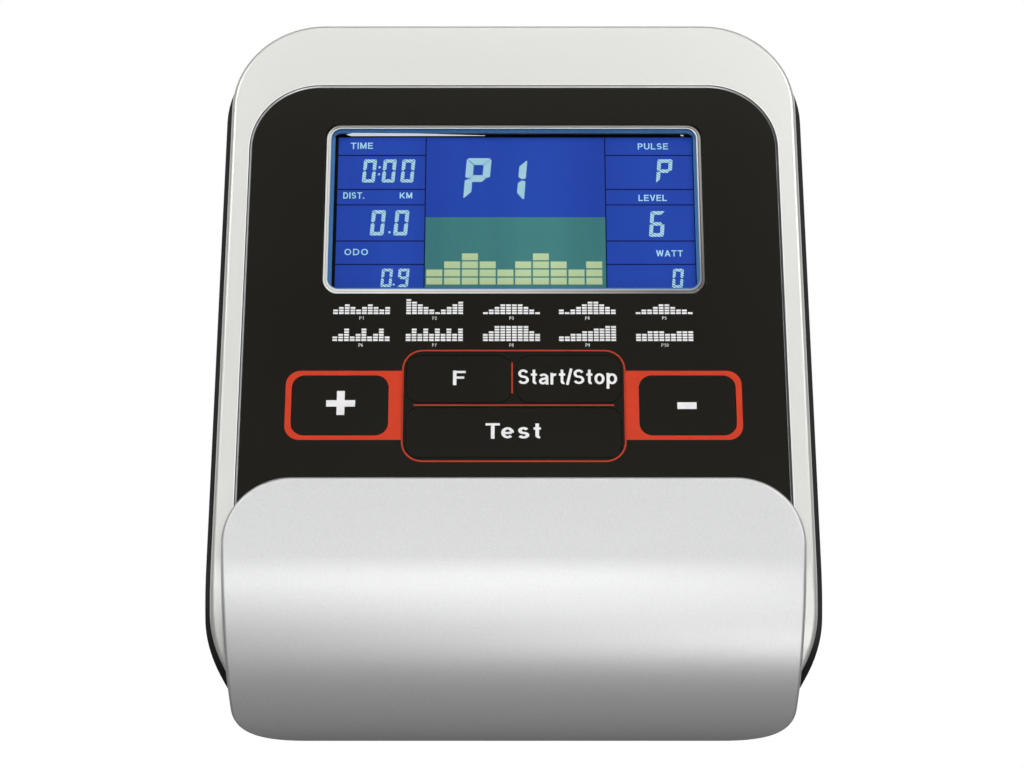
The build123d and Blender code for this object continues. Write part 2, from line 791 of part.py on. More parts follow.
with BuildPart() as tact_switches:
    with BuildSketch(at_depth(board_depth)):
        with Locations(*switch_places):
            Rectangle(switch_size, switch_size)
    extrude(amount=switch_height)
    with BuildSketch(at_depth(switch_front + switch_bore_depth)):
        with Locations(*switch_places):
            Circle(plunger_diameter / 2 + plunger_gap)
    extrude(amount=switch_bore_depth, mode=Mode.SUBTRACT)
finish(tact_switches, "tact_switches")


def make_key(name, x, z, width, height):
    """Moulded key cap, hollow behind, with a flange, a cross rib and the stem to its switch."""
    flange_front = front_wall + key_rest_gap
    flange_back = flange_front + key_flange_thickness
    reach = 2 * (key_gap + key_flange)
    with BuildPart() as key:
        with BuildSketch(at_depth(flange_back)):
            rounded(x, z, width, height, key_corner)
        extrude(amount=flange_back - film_depth)
        with BuildSketch(at_depth(flange_back)):
            rounded(x, z, width + reach, height + reach, key_corner + reach / 2)
        extrude(amount=key_flange_thickness)
        with BuildSketch(at_depth(flange_back)):
            rounded(x, z, width - 2 * key_wall, height - 2 * key_wall, key_corner - key_wall)
            with Locations((x, z)):
                Rectangle(key_wall, height, mode=Mode.SUBTRACT)
                Rectangle(width, key_wall, mode=Mode.SUBTRACT)
        extrude(amount=flange_back - film_depth - key_wall, mode=Mode.SUBTRACT)
        with BuildSketch(at_depth(plunger_top)):
            with Locations((x, z)):
                Circle(key_stem_diameter / 2)
        extrude(amount=plunger_top - film_depth - key_wall)
    finish(key, f"key_{name}")


def make_plunger(name, x, z):
    """Moving pin of a key's switch."""
    with BuildPart() as plunger:
        with BuildSketch(at_depth(plunger_top + plunger_length)):
            with Locations((x, z)):
                Circle(plunger_diameter / 2)
        extrude(amount=plunger_length)
    finish(plunger, f"switch_plunger_{name}")


for name, (x, z, width, height) in keys.items():
    make_key(name, x, z, width, height)
    make_plunger(name, x, z)


# ------------------------------------------------------------------ fasteners
def pan_screws(name, seat, places, core, head, length):
    """Screws driven from behind: round heads on a seat at a depth, shanks towards the face."""
    with BuildPart() as screws:
        with BuildSketch(at_depth(seat)):
            with Locations(*places):
                Circle(core / 2)
        extrude(amount=length)
        with BuildSketch(at_depth(seat + head_height)):
            with Locations(*places):
                Circle(head / 2)
        extrude(amount=head_height)
        chamfer(faces().group_by(Axis.Y)[-1].edges(), head_bevel)
    finish(screws, name)


pan_screws("board_screws", board_back, board_post_places,
           board_screw_core, board_screw_head, board_screw_length)
pan_screws("lcd_frame_screws", board_back, frame_screw_places,
           frame_screw_core, frame_screw_head, frame_screw_length)
pan_screws("housing_screws", tube_floor_depth, post_places,
           housing_screw_core, housing_screw_head, housing_screw_length)
pan_screws("roll_cover_screws", front_wall, cover_screw_places,
           cover_screw_core, cover_screw_head, cover_screw_length)

with BuildPart() as mounting_inserts:
    with BuildSketch(Plane.XZ):
        with GridLocations(bolt_spacing_x, bolt_spacing_z, 2, 2):
            Circle(insert_outer / 2)
            Circle(insert_bore / 2, mode=Mode.SUBTRACT)
    extrude(amount=insert_length)
finish(mounting_inserts, "mounting_inserts")

# Rubber grommet, turned about the inlet's axis: flange, neck through the wall, inner lip
wall_at_inlet = pad_rise + rear_wall
with BuildPart() as cable_grommet:
    with BuildSketch(Plane.XY):
        with BuildLine():
            Polyline(
                (grommet_bore / 2, 0),
                (inlet_diameter / 2 + grommet_flange, 0),
                (inlet_diameter / 2 + grommet_flange, -grommet_lip),
                (inlet_diameter / 2, -grommet_lip),
                (inlet_diameter / 2, -wall_at_inlet),
                (inlet_diameter / 2 + grommet_lip, -wall_at_inlet),
                (inlet_diameter / 2, -wall_at_inlet - grommet_lip),
                (grommet_bore / 2, -wall_at_inlet - grommet_lip),
                close=True,
            )
        make_face()
    revolve(axis=Axis.Y)
finish(cable_grommet, "cable_grommet")
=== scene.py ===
# %% [markdown]
# # The training computer of an elliptical trainer
# The object is the display head that sits on the trainer's mast.  A silver front shell and a
# black rear shell are screwed together, a silver hood wraps the rolled lower edge, and a black
# printed film carries the window of a backlit display and the legends of five keys.
# The hard parts come ready made from the CAD frame.  This script gives them their finishes and
# adds what is too thin for CAD: the printed inks and what the liquid crystal cell shows.

# %% Load the frame
import bpy
import math
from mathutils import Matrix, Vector


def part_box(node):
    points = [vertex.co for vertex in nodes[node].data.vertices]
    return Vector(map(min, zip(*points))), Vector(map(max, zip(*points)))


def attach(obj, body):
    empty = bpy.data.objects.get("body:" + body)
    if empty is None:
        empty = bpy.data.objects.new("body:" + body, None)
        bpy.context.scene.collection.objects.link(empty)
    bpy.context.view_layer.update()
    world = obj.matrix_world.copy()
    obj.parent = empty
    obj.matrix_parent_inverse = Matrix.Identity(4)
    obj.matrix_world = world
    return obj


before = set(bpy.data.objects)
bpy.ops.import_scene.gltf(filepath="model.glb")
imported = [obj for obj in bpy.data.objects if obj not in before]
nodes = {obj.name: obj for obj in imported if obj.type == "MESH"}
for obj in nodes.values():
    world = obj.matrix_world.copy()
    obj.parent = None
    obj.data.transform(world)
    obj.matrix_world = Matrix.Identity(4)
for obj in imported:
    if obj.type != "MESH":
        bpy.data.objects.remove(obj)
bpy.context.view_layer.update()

# %% [markdown]
# Everything is in metres, but a maker thinks in millimetres, so lengths below are written as
# a number times `mm`.  X runs to the user's right, Z up along the face and -Y out of it, so the
# face is a sheet seen along +Y and its prints are laid out by x and z alone.  The middle of the
# face lies `face_mid` mm above the origin.

# %% Units and the faces that carry prints
mm = 0.001
face_mid = 58
film_low, film_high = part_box("fascia_film")
film_front = film_low.y
glass_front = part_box("lcd_front_glass")[0].y
lens_low, lens_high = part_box("display_lens")
lens_centre = (lens_low + lens_high) / 2
print("film at", round(film_front / mm, 2), "glass at", round(glass_front / mm, 2),
      "lens centre", round(lens_centre.z / mm, 2))

# %% [markdown]
# ## Camera
# A product view of a console is taken from a little below the face, where the user's eyes are
# when the head is tilted up.  The camera looks at the face between the window and the keys from
# 20 degrees below its normal.  An 80 mm lens at 0.9 m keeps the sides nearly parallel, and it is
# shifted a hair sideways.

# %% Camera
def aim(thing, target):
    """Turns a camera or a lamp so that it looks at a point."""
    thing.rotation_mode = "QUATERNION"
    thing.rotation_quaternion = (Vector(target) - thing.location).to_track_quat("-Z", "Y")


face_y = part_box("front_housing")[0].y
aim_point = Vector((0, face_y, face_mid * mm))
view_distance = 910 * mm
view_drop = math.radians(20)

camera = bpy.data.objects.new("camera", bpy.data.cameras.new("camera"))
bpy.context.scene.collection.objects.link(camera)
camera.location = aim_point + view_distance * Vector((0, -math.cos(view_drop), -math.sin(view_drop)))
camera.data.sensor_width = 36
camera.data.lens = 79.98
camera.data.shift_x = -0.0017
camera.data.clip_start = 0.01
camera.data.clip_end = 50
aim(camera, aim_point)
bpy.context.scene.camera = camera
print("camera at", [round(v, 3) for v in camera.location])

# %% [markdown]
# ## Light
# Silver lacquer shows what stands around it, so the light is drawn like a studio: soft boxes in
# front, a white sweep behind and a dim room elsewhere.  The low boxes make the bright band where
# the hood starts to roll, and the dim floor lets its underside fall off.  No box stands where the
# flat face would mirror it, about 20 degrees above its normal, or the black film would turn grey.
# Together the lamps give a white card on the face a level of about one, so that a colour comes
# out as it is written.

# %% Soft boxes
def soft_box(name, azimuth, elevation, distance, watts, width=0.5, height=0.3):
    """A rectangular lamp that faces the console from a direction in degrees, 0 being its front."""
    lamp = bpy.data.lights.new(name, "AREA")
    lamp.shape = "RECTANGLE"
    lamp.size, lamp.size_y = width, height
    lamp.energy = watts
    holder = bpy.data.objects.new(name, lamp)
    bpy.context.scene.collection.objects.link(holder)
    side, rise = math.radians(azimuth), math.radians(elevation)
    holder.location = aim_point + distance * Vector(
        (math.sin(side) * math.cos(rise), -math.cos(side) * math.cos(rise), math.sin(rise)))
    aim(holder, aim_point)


soft_box("front_box", 0, -1, 1.6, 3.75)
soft_box("low_front_box", 0, -18, 1.5, 1.2)
soft_box("low_box", 0, -30, 1.4, 1.4)
soft_box("low_right_box", 28, -20, 1.6, 1.9)
soft_box("under_box", 0, -55, 1.5, 2.3)
soft_box("under_right_box", 28, -50, 1.5, 8.6)
soft_box("left_box", -28, -5, 1.6, 2.1)
soft_box("high_left_box", -35, 30, 1.6, 5.4)
soft_box("high_right_box", 35, 30, 1.6, 7.0)
soft_box("top_box", 0, 45, 1.6, 2.7)
soft_box("back_box", 180, 35, 1.6, 8.0, 0.8, 0.5)

world = bpy.data.worlds.new("white_sweep_and_dim_room")
bpy.context.scene.world = world
world.use_nodes = True

# %% [markdown]
# ## A small kit for materials
# Every finish below is a tree of shader nodes.  One function adds a node: its settings are plain
# arguments, and an input is either a value or another node's output, which is then linked.
# Colours are written as the usual sRGB hex codes and one function turns them to linear light.

# %% Colour and node helpers
def linear(code):
    """sRGB hex code to linear red, green, blue and alpha."""
    parts = [int(code[i:i + 2], 16) / 255 for i in (1, 3, 5)]
    return (*(p / 12.92 if p <= 0.04045 else ((p + 0.055) / 1.055) ** 2.4 for p in parts), 1.0)


def add(tree, kind, inputs=None, **settings):
    """Adds a node to a tree, sets what is given, and links inputs that come from other nodes."""
    made = tree.nodes.new("ShaderNode" + kind)
    for name, value in settings.items():
        setattr(made, name, value)
    for name, value in (inputs or {}).items():
        if isinstance(value, bpy.types.NodeSocket):
            tree.links.new(value, made.inputs[name])
        else:
            made.inputs[name].default_value = value
    return made


def fresh(name):
    """A material with an empty tree."""
    made = bpy.data.materials.new(name)
    made.use_nodes = True
    made.node_tree.nodes.clear()
    return made, made.node_tree


def finish_with(tree, shader):
    """Connects the last shader to the material's output."""
    add(tree, "OutputMaterial", {"Surface": shader.outputs[0]})


def ramp(tree, factor, stops):
    """A colour ramp: stops are (position, hex code)."""
    made = add(tree, "ValToRGB", {"Fac": factor})
    band = made.color_ramp
    for extra in range(len(stops) - 2):
        band.elements.new(0.5)
    for element, (place, code) in zip(band.elements, stops):
        element.position = place
        element.color = linear(code)
    return made


def per(length):
    """Texture scale at which one cell of a pattern is this long."""
    return 1 / length


# %% [markdown]
# The world is the room.  Looked at directly it is plain white.  Metal and glass see the white
# sweep too, but only behind the object and above the floor, since the half in front is the dim
# side of a studio.

# %% The room's light
room = world.node_tree
room.nodes.clear()
ray = add(room, "LightPath")
facing = add(room, "SeparateXYZ", {0: add(room, "TexCoord").outputs["Generated"]})
behind = add(room, "MapRange", {"Value": facing.outputs["Y"], "From Min": 0.05, "From Max": 0.35})
above = add(room, "MapRange", {"Value": facing.outputs["Z"], "From Min": -0.1, "From Max": 0.1})
mirrored = add(room, "Math", {0: ray.outputs["Is Glossy Ray"], 1: ray.outputs["Is Transmission Ray"]},
               operation="MAXIMUM")
backdrop = add(room, "Math", {0: behind.outputs[0], 1: above.outputs[0]}, operation="MULTIPLY")
sweep = add(room, "Math", {0: mirrored.outputs[0], 1: backdrop.outputs[0]}, operation="MULTIPLY")
seen = add(room, "Math", {0: ray.outputs["Is Camera Ray"], 1: sweep.outputs[0]}, operation="MAXIMUM")
dim = add(room, "Background", {"Color": linear("#FFFFFF"), "Strength": 0.08})
white = add(room, "Background", {"Color": linear("#FFFFFF"), "Strength": 1.0})
both = add(room, "MixShader", {0: seen.outputs[0], 1: dim.outputs[0], 2: white.outputs[0]})
add(room, "OutputWorld", {"Surface": both.outputs[0]})

# %% [markdown]
# ## Silver lacquer
# The front shell is moulded ABS with a satin metallic lacquer: aluminium flake some 30 microns
# across in a clear binder.  It could be one grey colour, but a real lacquer breaks the light up a
# little from flake to flake and shows a faint orange-peel.  A cell pattern tilts the normal by
# flake and a slow noise carries the orange-peel.  Flakes of the true size would be too fine to
# show, so they are drawn 0.25 mm across.  Round the fascia the shell turns down in a narrow
# shoulder, which on the real shell mirrors the dark film and the lamps as fine lines.  These lines
# are painted into its colour as painted reflection and painted highlight, placed by how far a point
# lies past the film's edge and by which way the shoulder faces.

# %% Silver lacquer on the front shell
fascia_corner = 28 * mm
shoulder_width = 2 * mm


def beyond(tree, centre, half, corner):
    """Distance past a rectangle with round corners that stands in x and z; inside it is negative."""
    spot = add(tree, "VectorMath", {0: add(tree, "TexCoord").outputs["Object"], 1: centre},
               operation="SUBTRACT")
    size = add(tree, "VectorMath", {0: spot.outputs[0]}, operation="ABSOLUTE")
    straight = (half[0] - corner, 1.0, half[1] - corner)
    past = add(tree, "VectorMath", {0: size.outputs[0], 1: straight}, operation="SUBTRACT")
    outer = add(tree, "VectorMath", {0: past.outputs[0], 1: (0, 0, 0)}, operation="MAXIMUM")
    far = add(tree, "VectorMath", {0: outer.outputs[0]}, operation="LENGTH")
    return spot, add(tree, "Math", {0: far.outputs["Value"], 1: corner}, operation="SUBTRACT")


def paint_shoulder_lines(tree, paint):
    """Painted shade and highlight on the fascia's shoulder: it is darkened, with a painted bright inner
    line where it faces the light.
    """
    past = beyond(tree, (0, 0, 0), (film_high.x, film_high.z), fascia_corner)[1]
    where = add(tree, "MapRange", {"Value": past.outputs[0], "From Max": shoulder_width}).outputs[0]
    # Painted reflection and highlight: dark and bright lines where the shoulder would mirror the film and
    # the lamps.
    painted_lines_shaded_side = ramp(tree, where, [(0.0, "#6A6C6C"), (0.45, "#6A6C6C"), (0.56, "#F4F6F6"),
                                   (0.75, "#DEDEDA")])
    painted_lines_lit_side = ramp(tree, where, [(0.0, "#8A8A86"), (0.1, "#FFFFFF"), (0.26, "#FFFFFF"), (0.34, "#55595B"),
                                  (0.46, "#55595B"), (0.56, "#FFFFFF"), (0.75, "#DEDEDA")])
    tilt = add(tree, "SeparateXYZ", {0: add(tree, "NewGeometry").outputs["True Normal"]})
    faced = add(tree, "Math", {0: tilt.outputs["X"], 1: tilt.outputs["Z"]}, operation="SUBTRACT")
    share = add(tree, "Math", {0: faced.outputs[0], 1: 0.9, 2: 0.5},
                operation="MULTIPLY_ADD", use_clamp=True)
    lines = add(tree, "MixRGB", {0: share.outputs[0], 1: painted_lines_shaded_side.outputs[0], 2: painted_lines_lit_side.outputs[0]})
    close = add(tree, "Math", {0: where, 1: 0.75}, operation="LESS_THAN")
    return add(tree, "MixRGB", {0: close.outputs[0], 1: paint, 2: lines.outputs[0]}).outputs[0]


def metallic_lacquer(name, base, shade, metallic, roughness, flake, peel, shoulder=False):
    """Satin flake lacquer: flake tint and tilt over a soft orange-peel, under a thin clear coat; with
    shoulder, the painted shoulder lines are added.
    """
    made, tree = fresh(name)
    where = add(tree, "TexCoord").outputs["Object"]
    flakes = add(tree, "TexVoronoi", {"Vector": where, "Scale": per(0.25 * mm)})
    tint = ramp(tree, flakes.outputs["Distance"], [(0.0, base), (0.9, shade)]).outputs[0]
    swell = add(tree, "TexNoise", {"Vector": where, "Scale": per(1.6 * mm), "Detail": 2.0})
    soft = add(tree, "Bump", {"Height": swell.outputs["Fac"], "Strength": peel, "Distance": 0.02 * mm})
    grain = add(tree, "Bump", {"Height": flakes.outputs["Distance"], "Strength": flake,
                               "Distance": 0.02 * mm, "Normal": soft.outputs[0]})
    body = add(tree, "BsdfPrincipled", {
        "Base Color": paint_shoulder_lines(tree, tint) if shoulder else tint, "Metallic": metallic,
        "Roughness": roughness, "Coat Weight": 0.1, "Coat Roughness": 0.35, "Normal": grain.outputs[0]})
    finish_with(tree, body)
    return made


silver_lacquer = metallic_lacquer("silver_lacquer", "#DEDEDA", "#D6D6D2", 0.6, 0.42, 0.10, 0.05, True)
hood_lacquer = metallic_lacquer("satin_hood_lacquer", "#DEDEDC", "#C8C9CB", 0.75, 0.45, 0.3, 0.05)
print("made", silver_lacquer.name, "and", hood_lacquer.name)

# %% [markdown]
# ## Black moulded ABS
# The rear shell is unpainted black ABS.  Its mould was spark eroded, which leaves a fine even
# pitting, so the surface is nearly matt and looks a little lighter at a glancing angle.  Noise at
# the pitting's size, 0.35 mm, drives both the bump and a slight change of gloss.  The pits trap
# part of the reflection, so it is set weaker than a smooth plastic's.

# %% Spark-textured ABS
def moulded(name, dark, light, roughness, grain_size, depth, ior=1.53, shine=0.5):
    """Moulded plastic or rubber: slow clouds of tone, and an even grain in gloss and height."""
    made, tree = fresh(name)
    where = add(tree, "TexCoord").outputs["Object"]
    cloud = add(tree, "TexNoise", {"Vector": where, "Scale": per(35 * mm), "Detail": 2.0})
    tint = ramp(tree, cloud.outputs["Fac"], [(0.3, dark), (0.7, light)])
    grain = add(tree, "TexNoise", {"Vector": where, "Scale": per(grain_size), "Detail": 3.0})
    gloss = add(tree, "MapRange", {"Value": grain.outputs["Fac"], "To Min": roughness - 0.06,
                                   "To Max": roughness + 0.06})
    bump = add(tree, "Bump", {"Height": grain.outputs["Fac"], "Strength": 0.5, "Distance": depth})
    body = add(tree, "BsdfPrincipled", {
        "Base Color": tint.outputs["Color"], "Roughness": gloss.outputs["Result"], "IOR": ior,
        "Specular IOR Level": shine, "Normal": bump.outputs[0]})
    finish_with(tree, body)
    return made


black_abs = moulded("spark_textured_black_abs", "#0D0D0E", "#131314", 0.48, 0.35 * mm, 0.03 * mm,
                    shine=0.25)
print("made", black_abs.name)

# %% [markdown]
# ## Printed film
# The fascia and the key caps share one finish: polycarbonate film, printed black on its back and
# velvet on its front, so the black lies under a thin clear layer with a fine matt grain.  That
# gives a warm near-black with a soft, wide sheen, weaker than a smooth film's because the grain
# scatters part of it.

# %% Black velvet film
velvet_film = moulded("velvet_black_polycarbonate_film", "#131109", "#15140C", 0.24, 0.12 * mm,
                      0.004 * mm, ior=1.5, shine=0.35)
print("made", velvet_film.name)

# %% [markdown]
# ## Inks
# The legends are screen printed in a thick opaque ink, about 0.03 mm high.  Screen ink is never
# quite even: a fine noise varies its tone and leaves a slight tooth.  The inks differ only in
# their two tones, so one function makes them all.

# %% Screen inks
def screen_ink(name, dark, light):
    """Opaque screen ink in two close tones."""
    made, tree = fresh(name)
    where = add(tree, "TexCoord").outputs["Object"]
    cloud = add(tree, "TexNoise", {"Vector": where, "Scale": per(6 * mm), "Detail": 3.0})
    tint = ramp(tree, cloud.outputs["Fac"], [(0.3, dark), (0.7, light)])
    tooth = add(tree, "TexNoise", {"Vector": where, "Scale": per(0.15 * mm), "Detail": 1.0})
    bump = add(tree, "Bump", {"Height": tooth.outputs["Fac"], "Strength": 0.2, "Distance": 0.004 * mm})
    body = add(tree, "BsdfPrincipled", {"Base Color": tint.outputs["Color"], "Roughness": 0.24,
                                        "Normal": bump.outputs[0]})
    finish_with(tree, body)
    return made


white_ink = screen_ink("white_screen_ink", "#E6E6E6", "#F4F4F4")
red_ink = screen_ink("red_screen_ink", "#CC3A1E", "#D23E22")
fine_red_ink = screen_ink("fine_line_red_screen_ink", "#B4371F", "#BC3B23")
print("made", white_ink.name, red_ink.name, fine_red_ink.name)

# %% [markdown]
# ## Liquid crystal display
# A blue negative display shows light segments on a dark blue field, lit from behind through two
# glass plates.  The field, the lit segments and the green matrix window are polarising and
# coloured foils, so they glow by themselves: part of each colour is reflected and the rest is
# emitted evenly.  The foil shows faint clouds and a fine vertical streak in what it reflects.
# The segments of the digits carry a fine slanted hatch, drawn a little coarser than it is.
# The foils are laminated behind glass, so their own surfaces hardly reflect.

# %% Backlit foils
def backlit(name, dark, light, glow, streak=0.0, hatch=0.0):
    """Foil over a backlight: it reflects a pattern between two tones and emits an even glow."""
    made, tree = fresh(name)
    where = add(tree, "TexCoord").outputs["Object"]
    if hatch:
        slanted = add(tree, "Mapping", {"Vector": where, "Rotation": (0.0, math.radians(55), 0.0)})
        strokes = add(tree, "TexWave", {"Vector": slanted.outputs[0], "Scale": per(hatch) * math.pi / 10})
        tint = ramp(tree, strokes.outputs["Fac"], [(0.2, dark), (0.75, light)])
    else:
        stretch = add(tree, "Mapping", {"Vector": where, "Scale": (1.0, 1.0, 0.12)})
        cloud = add(tree, "TexNoise", {"Vector": stretch.outputs[0], "Scale": per(22 * mm), "Detail": 2.0})
        lines = add(tree, "TexNoise", {"Vector": stretch.outputs[0], "Scale": per(0.7 * mm), "Detail": 1.0})
        mix = add(tree, "Math", {0: lines.outputs["Fac"], 1: streak, 2: cloud.outputs["Fac"]},
                  operation="MULTIPLY_ADD")
        tint = ramp(tree, mix.outputs[0], [(0.3 + streak / 2, dark), (0.7 + streak / 2, light)])
    body = add(tree, "BsdfPrincipled", {
        "Base Color": tint.outputs["Color"], "Roughness": 0.35, "IOR": 1.5, "Specular IOR Level": 0.1,
        "Emission Color": linear(light), "Emission Strength": glow})
    finish_with(tree, body)
    return made


lcd_blue = backlit("blue_polarising_foil", "#15307C", "#1C398A", 0.6, 0.15)
lcd_teal = backlit("green_window_foil", "#2B5859", "#376967", 0.55, 0.2)
lcd_word = backlit("lit_segment", "#7FAAB4", "#9CC7D0", 0.33, 0.4)
lcd_digit = backlit("hatched_segment", "#44727E", "#B0D8DE", 0.27, hatch=0.9 * mm)
lcd_green = backlit("lit_matrix_cell", "#96A87A", "#A6B688", 0.4, 0.2)
# Painted light: the backlight's spill is a glow on the window's tape and on strips beside the field.
lcd_backlight_spill = backlit("backlight_spill", "#335D88", "#3F6C99", 0.5)
# Painted highlight: the streaks under the window's upper wall glow in place of a lamp's reflection.
lcd_painted_glint = backlit("painted_edge_glint", "#E6E4DA", "#F2F0E6", 0.5)
lcd_black = backlit("black_glass_mask", "#030304", "#060607", 0.0)
lcd_line = backlit("segment_gap_navy", "#060B38", "#091048", 0.2)
print("made the display's foils")

# %% [markdown]
# ## Window lens
# The lens is 1.7 mm clear cast acrylic with a polished bevel.  Its flat is nearly invisible:
# mostly transparent with a thin reflection.  The bevel turns the light, so it reads as a bright
# rim with a fine grey line along it on the left, and as a white inner line with a grey outside on
# the right and at the top, dimmer towards the lower right.  Real refraction could be traced, but
# it needs many bounces in so thin a sheet, so these lines are painted highlight and painted shade
# in the rim's colour: set by how far a point lies along the bevel, 0 inside and 1 outside, by
# which way the bevel faces, and darkened towards the lower right.  The corners of the sheet beyond
# the rounded rim are masked with matt black print.

# %% Clear acrylic with a bright bevel
rim_width = 2.2 * mm
rim_half = (77.8 * mm, 38.0 * mm)
rim_corner = 6.4 * mm


def clear_acrylic():
    """Acrylic sheet: a clear pane inside a bevel whose painted highlight and shade are ramped from its
    inner to its outer edge.
    """
    made, tree = fresh("polished_cast_acrylic")
    spot, past = beyond(tree, lens_centre, rim_half, rim_corner)
    along = add(tree, "MapRange", {"Value": past.outputs[0], "From Min": -rim_width,
                                   "From Max": 0.2 * mm}).outputs[0]
    edge = [(0.91, "#8A8A86"), (0.95, "#100F0B")]
    # Painted highlight and shade on the bevel: a bright ramp and a grey one, mixed by which way the bevel
    # faces.
    bright = ramp(tree, along, [(0.15, "#CED2D6"), (0.3, "#E2E2DE"), (0.48, "#DADAD6"), (0.54, "#A4A49F"),
                                (0.62, "#E6E6E2"), (0.84, "#F2F2EE"), *edge])
    painted_grey_rim = ramp(tree, along, [(0.15, "#E2E2E4"), (0.32, "#F6F4F2"), (0.4, "#63615F"), (0.54, "#6E6C6A"),
                              (0.68, "#B4B2AF"), (0.84, "#8E8C89"), *edge])
    place = add(tree, "SeparateXYZ", {0: spot.outputs[0]})
    across = add(tree, "Math", {0: place.outputs["X"], 1: per(76 * mm)}, operation="MULTIPLY")
    up = add(tree, "Math", {0: place.outputs["Z"], 1: per(36 * mm)}, operation="MULTIPLY")
    tilt = add(tree, "SeparateXYZ", {0: add(tree, "NewGeometry").outputs["True Normal"]})
    right = add(tree, "Math", {0: across.outputs[0], 1: 0.0}, operation="MAXIMUM")
    share = add(tree, "Math", {0: right.outputs[0], 1: 1.3, 2: 0.5}, operation="MULTIPLY_ADD")
    share = add(tree, "Math", {0: tilt.outputs["X"], 1: 1.32, 2: share.outputs[0]},
                operation="MULTIPLY_ADD")
    share = add(tree, "Math", {0: tilt.outputs["Z"], 1: 1.58, 2: share.outputs[0]},
                operation="MULTIPLY_ADD", use_clamp=True)
    painted_rim_light = add(tree, "MixRGB", {0: share.outputs[0], 1: bright.outputs[0], 2: painted_grey_rim.outputs[0]})
    # Painted shade: the rim is darkened towards the lower right.
    lower_right = add(tree, "Math", {0: across.outputs[0], 1: up.outputs[0]}, operation="SUBTRACT")
    painted_shade_lower_right = add(tree, "MapRange", {"Value": lower_right.outputs[0], "From Min": 0.3, "From Max": 1.8,
                                     "To Max": 0.6})
    rim_with_painted_shade = add(tree, "MixRGB", {0: painted_shade_lower_right.outputs[0], 1: painted_rim_light.outputs[0], 2: linear("#1A1A18")})
    masked = add(tree, "MapRange", {"Value": along, "From Min": 0.92, "From Max": 0.96})
    dull = add(tree, "MapRange", {"Value": masked.outputs[0], "To Min": 0.2, "To Max": 0.7})
    shine = add(tree, "MapRange", {"Value": masked.outputs[0], "To Min": 0.5, "To Max": 0.05})
    rim = add(tree, "BsdfPrincipled", {"Base Color": rim_with_painted_shade.outputs[0], "Roughness": dull.outputs[0],
                                       "IOR": 1.49, "Specular IOR Level": shine.outputs[0]})
    clear = add(tree, "BsdfTransparent", {"Color": linear("#FCFDFF")})
    gloss = add(tree, "BsdfGlossy", {"Color": linear("#FFFFFF"), "Roughness": 0.03})
    mirror = add(tree, "Fresnel", {"IOR": 1.1})
    pane = add(tree, "MixShader", {0: mirror.outputs[0], 1: clear.outputs[0], 2: gloss.outputs[0]})
    on_rim = add(tree, "Math", {0: along, 1: 0.15}, operation="GREATER_THAN")
    finish_with(tree, add(tree, "MixShader", {0: on_rim.outputs[0], 1: pane.outputs[0], 2: rim.outputs[0]}))
    return made


lens_acrylic = clear_acrylic()
print("made", lens_acrylic.name)

# %% [markdown]
# ## Finishes of the inner parts
# Most inner parts never show, but the model may be opened up, so each gets the finish of its
# real material: solder mask on glass epoxy, black epoxy packages, zinc plated screws, brass
# inserts, nylon headers and silicone.  Plastics reuse the moulded function.  Metals share one
# with turning marks: rings round the Y axis, the way every screw and insert here was turned,
# drawn about twice as coarse as they are.

# %% Turned metal
def turned_metal(name, dark, light, roughness, groove):
    """Bare or plated metal with fine marks round its axis."""
    made, tree = fresh(name)
    where = add(tree, "TexCoord").outputs["Object"]
    marks = add(tree, "TexWave", {"Vector": where, "Scale": per(groove) / (2 * math.pi), "Distortion": 1.5,
                                  "Detail": 2.0}, wave_type="BANDS", bands_direction="Y")
    stain = add(tree, "TexNoise", {"Vector": where, "Scale": per(2.5 * mm), "Detail": 3.0})
    tint = ramp(tree, stain.outputs["Fac"], [(0.3, dark), (0.7, light)])
    bump = add(tree, "Bump", {"Height": marks.outputs["Fac"], "Strength": 0.25, "Distance": 0.01 * mm})
    body = add(tree, "BsdfPrincipled", {"Base Color": tint.outputs["Color"], "Metallic": 1.0,
                                        "Roughness": roughness, "Normal": bump.outputs[0]})
    finish_with(tree, body)
    return made


zinc = turned_metal("bright_zinc_plated_steel", "#A9ADB3", "#C4C8CC", 0.32, 0.2 * mm)
brass = turned_metal("turned_brass", "#B08D4E", "#C9A765", 0.28, 0.15 * mm)
can_metal = turned_metal("drawn_aluminium_can", "#B9BBBE", "#CFD1D3", 0.35, 0.3 * mm)
rubber = moulded("moulded_black_rubber", "#131313", "#1A1A1A", 0.65, 0.25 * mm, 0.02 * mm, 1.52)
foam = moulded("closed_cell_foam", "#0C0C0C", "#141414", 0.9, 0.4 * mm, 0.08 * mm, 1.5)
epoxy_board = moulded("green_solder_mask", "#0E4A24", "#14602F", 0.38, 0.6 * mm, 0.01 * mm)
chip_epoxy = moulded("black_package_epoxy", "#151515", "#1C1C1C", 0.6, 0.1 * mm, 0.01 * mm)
nylon = moulded("natural_nylon", "#D2CBB4", "#DDD6C0", 0.45, 0.4 * mm, 0.01 * mm)
switch_nylon = moulded("black_glass_filled_nylon", "#1A1A1C", "#222224", 0.5, 0.2 * mm, 0.01 * mm)
guide_acrylic = moulded("frosted_acrylic_guide", "#D5DCE6", "#E2E8F0", 0.25, 0.8 * mm, 0.01 * mm)
white_sheet = moulded("white_reflector_foil", "#ECECEA", "#F6F6F4", 0.7, 0.3 * mm, 0.01 * mm)
led_phosphor = moulded("yellow_phosphor_resin", "#E0C878", "#EAD68C", 0.4, 0.3 * mm, 0.01 * mm)
print("made", len(bpy.data.materials), "materials in all")

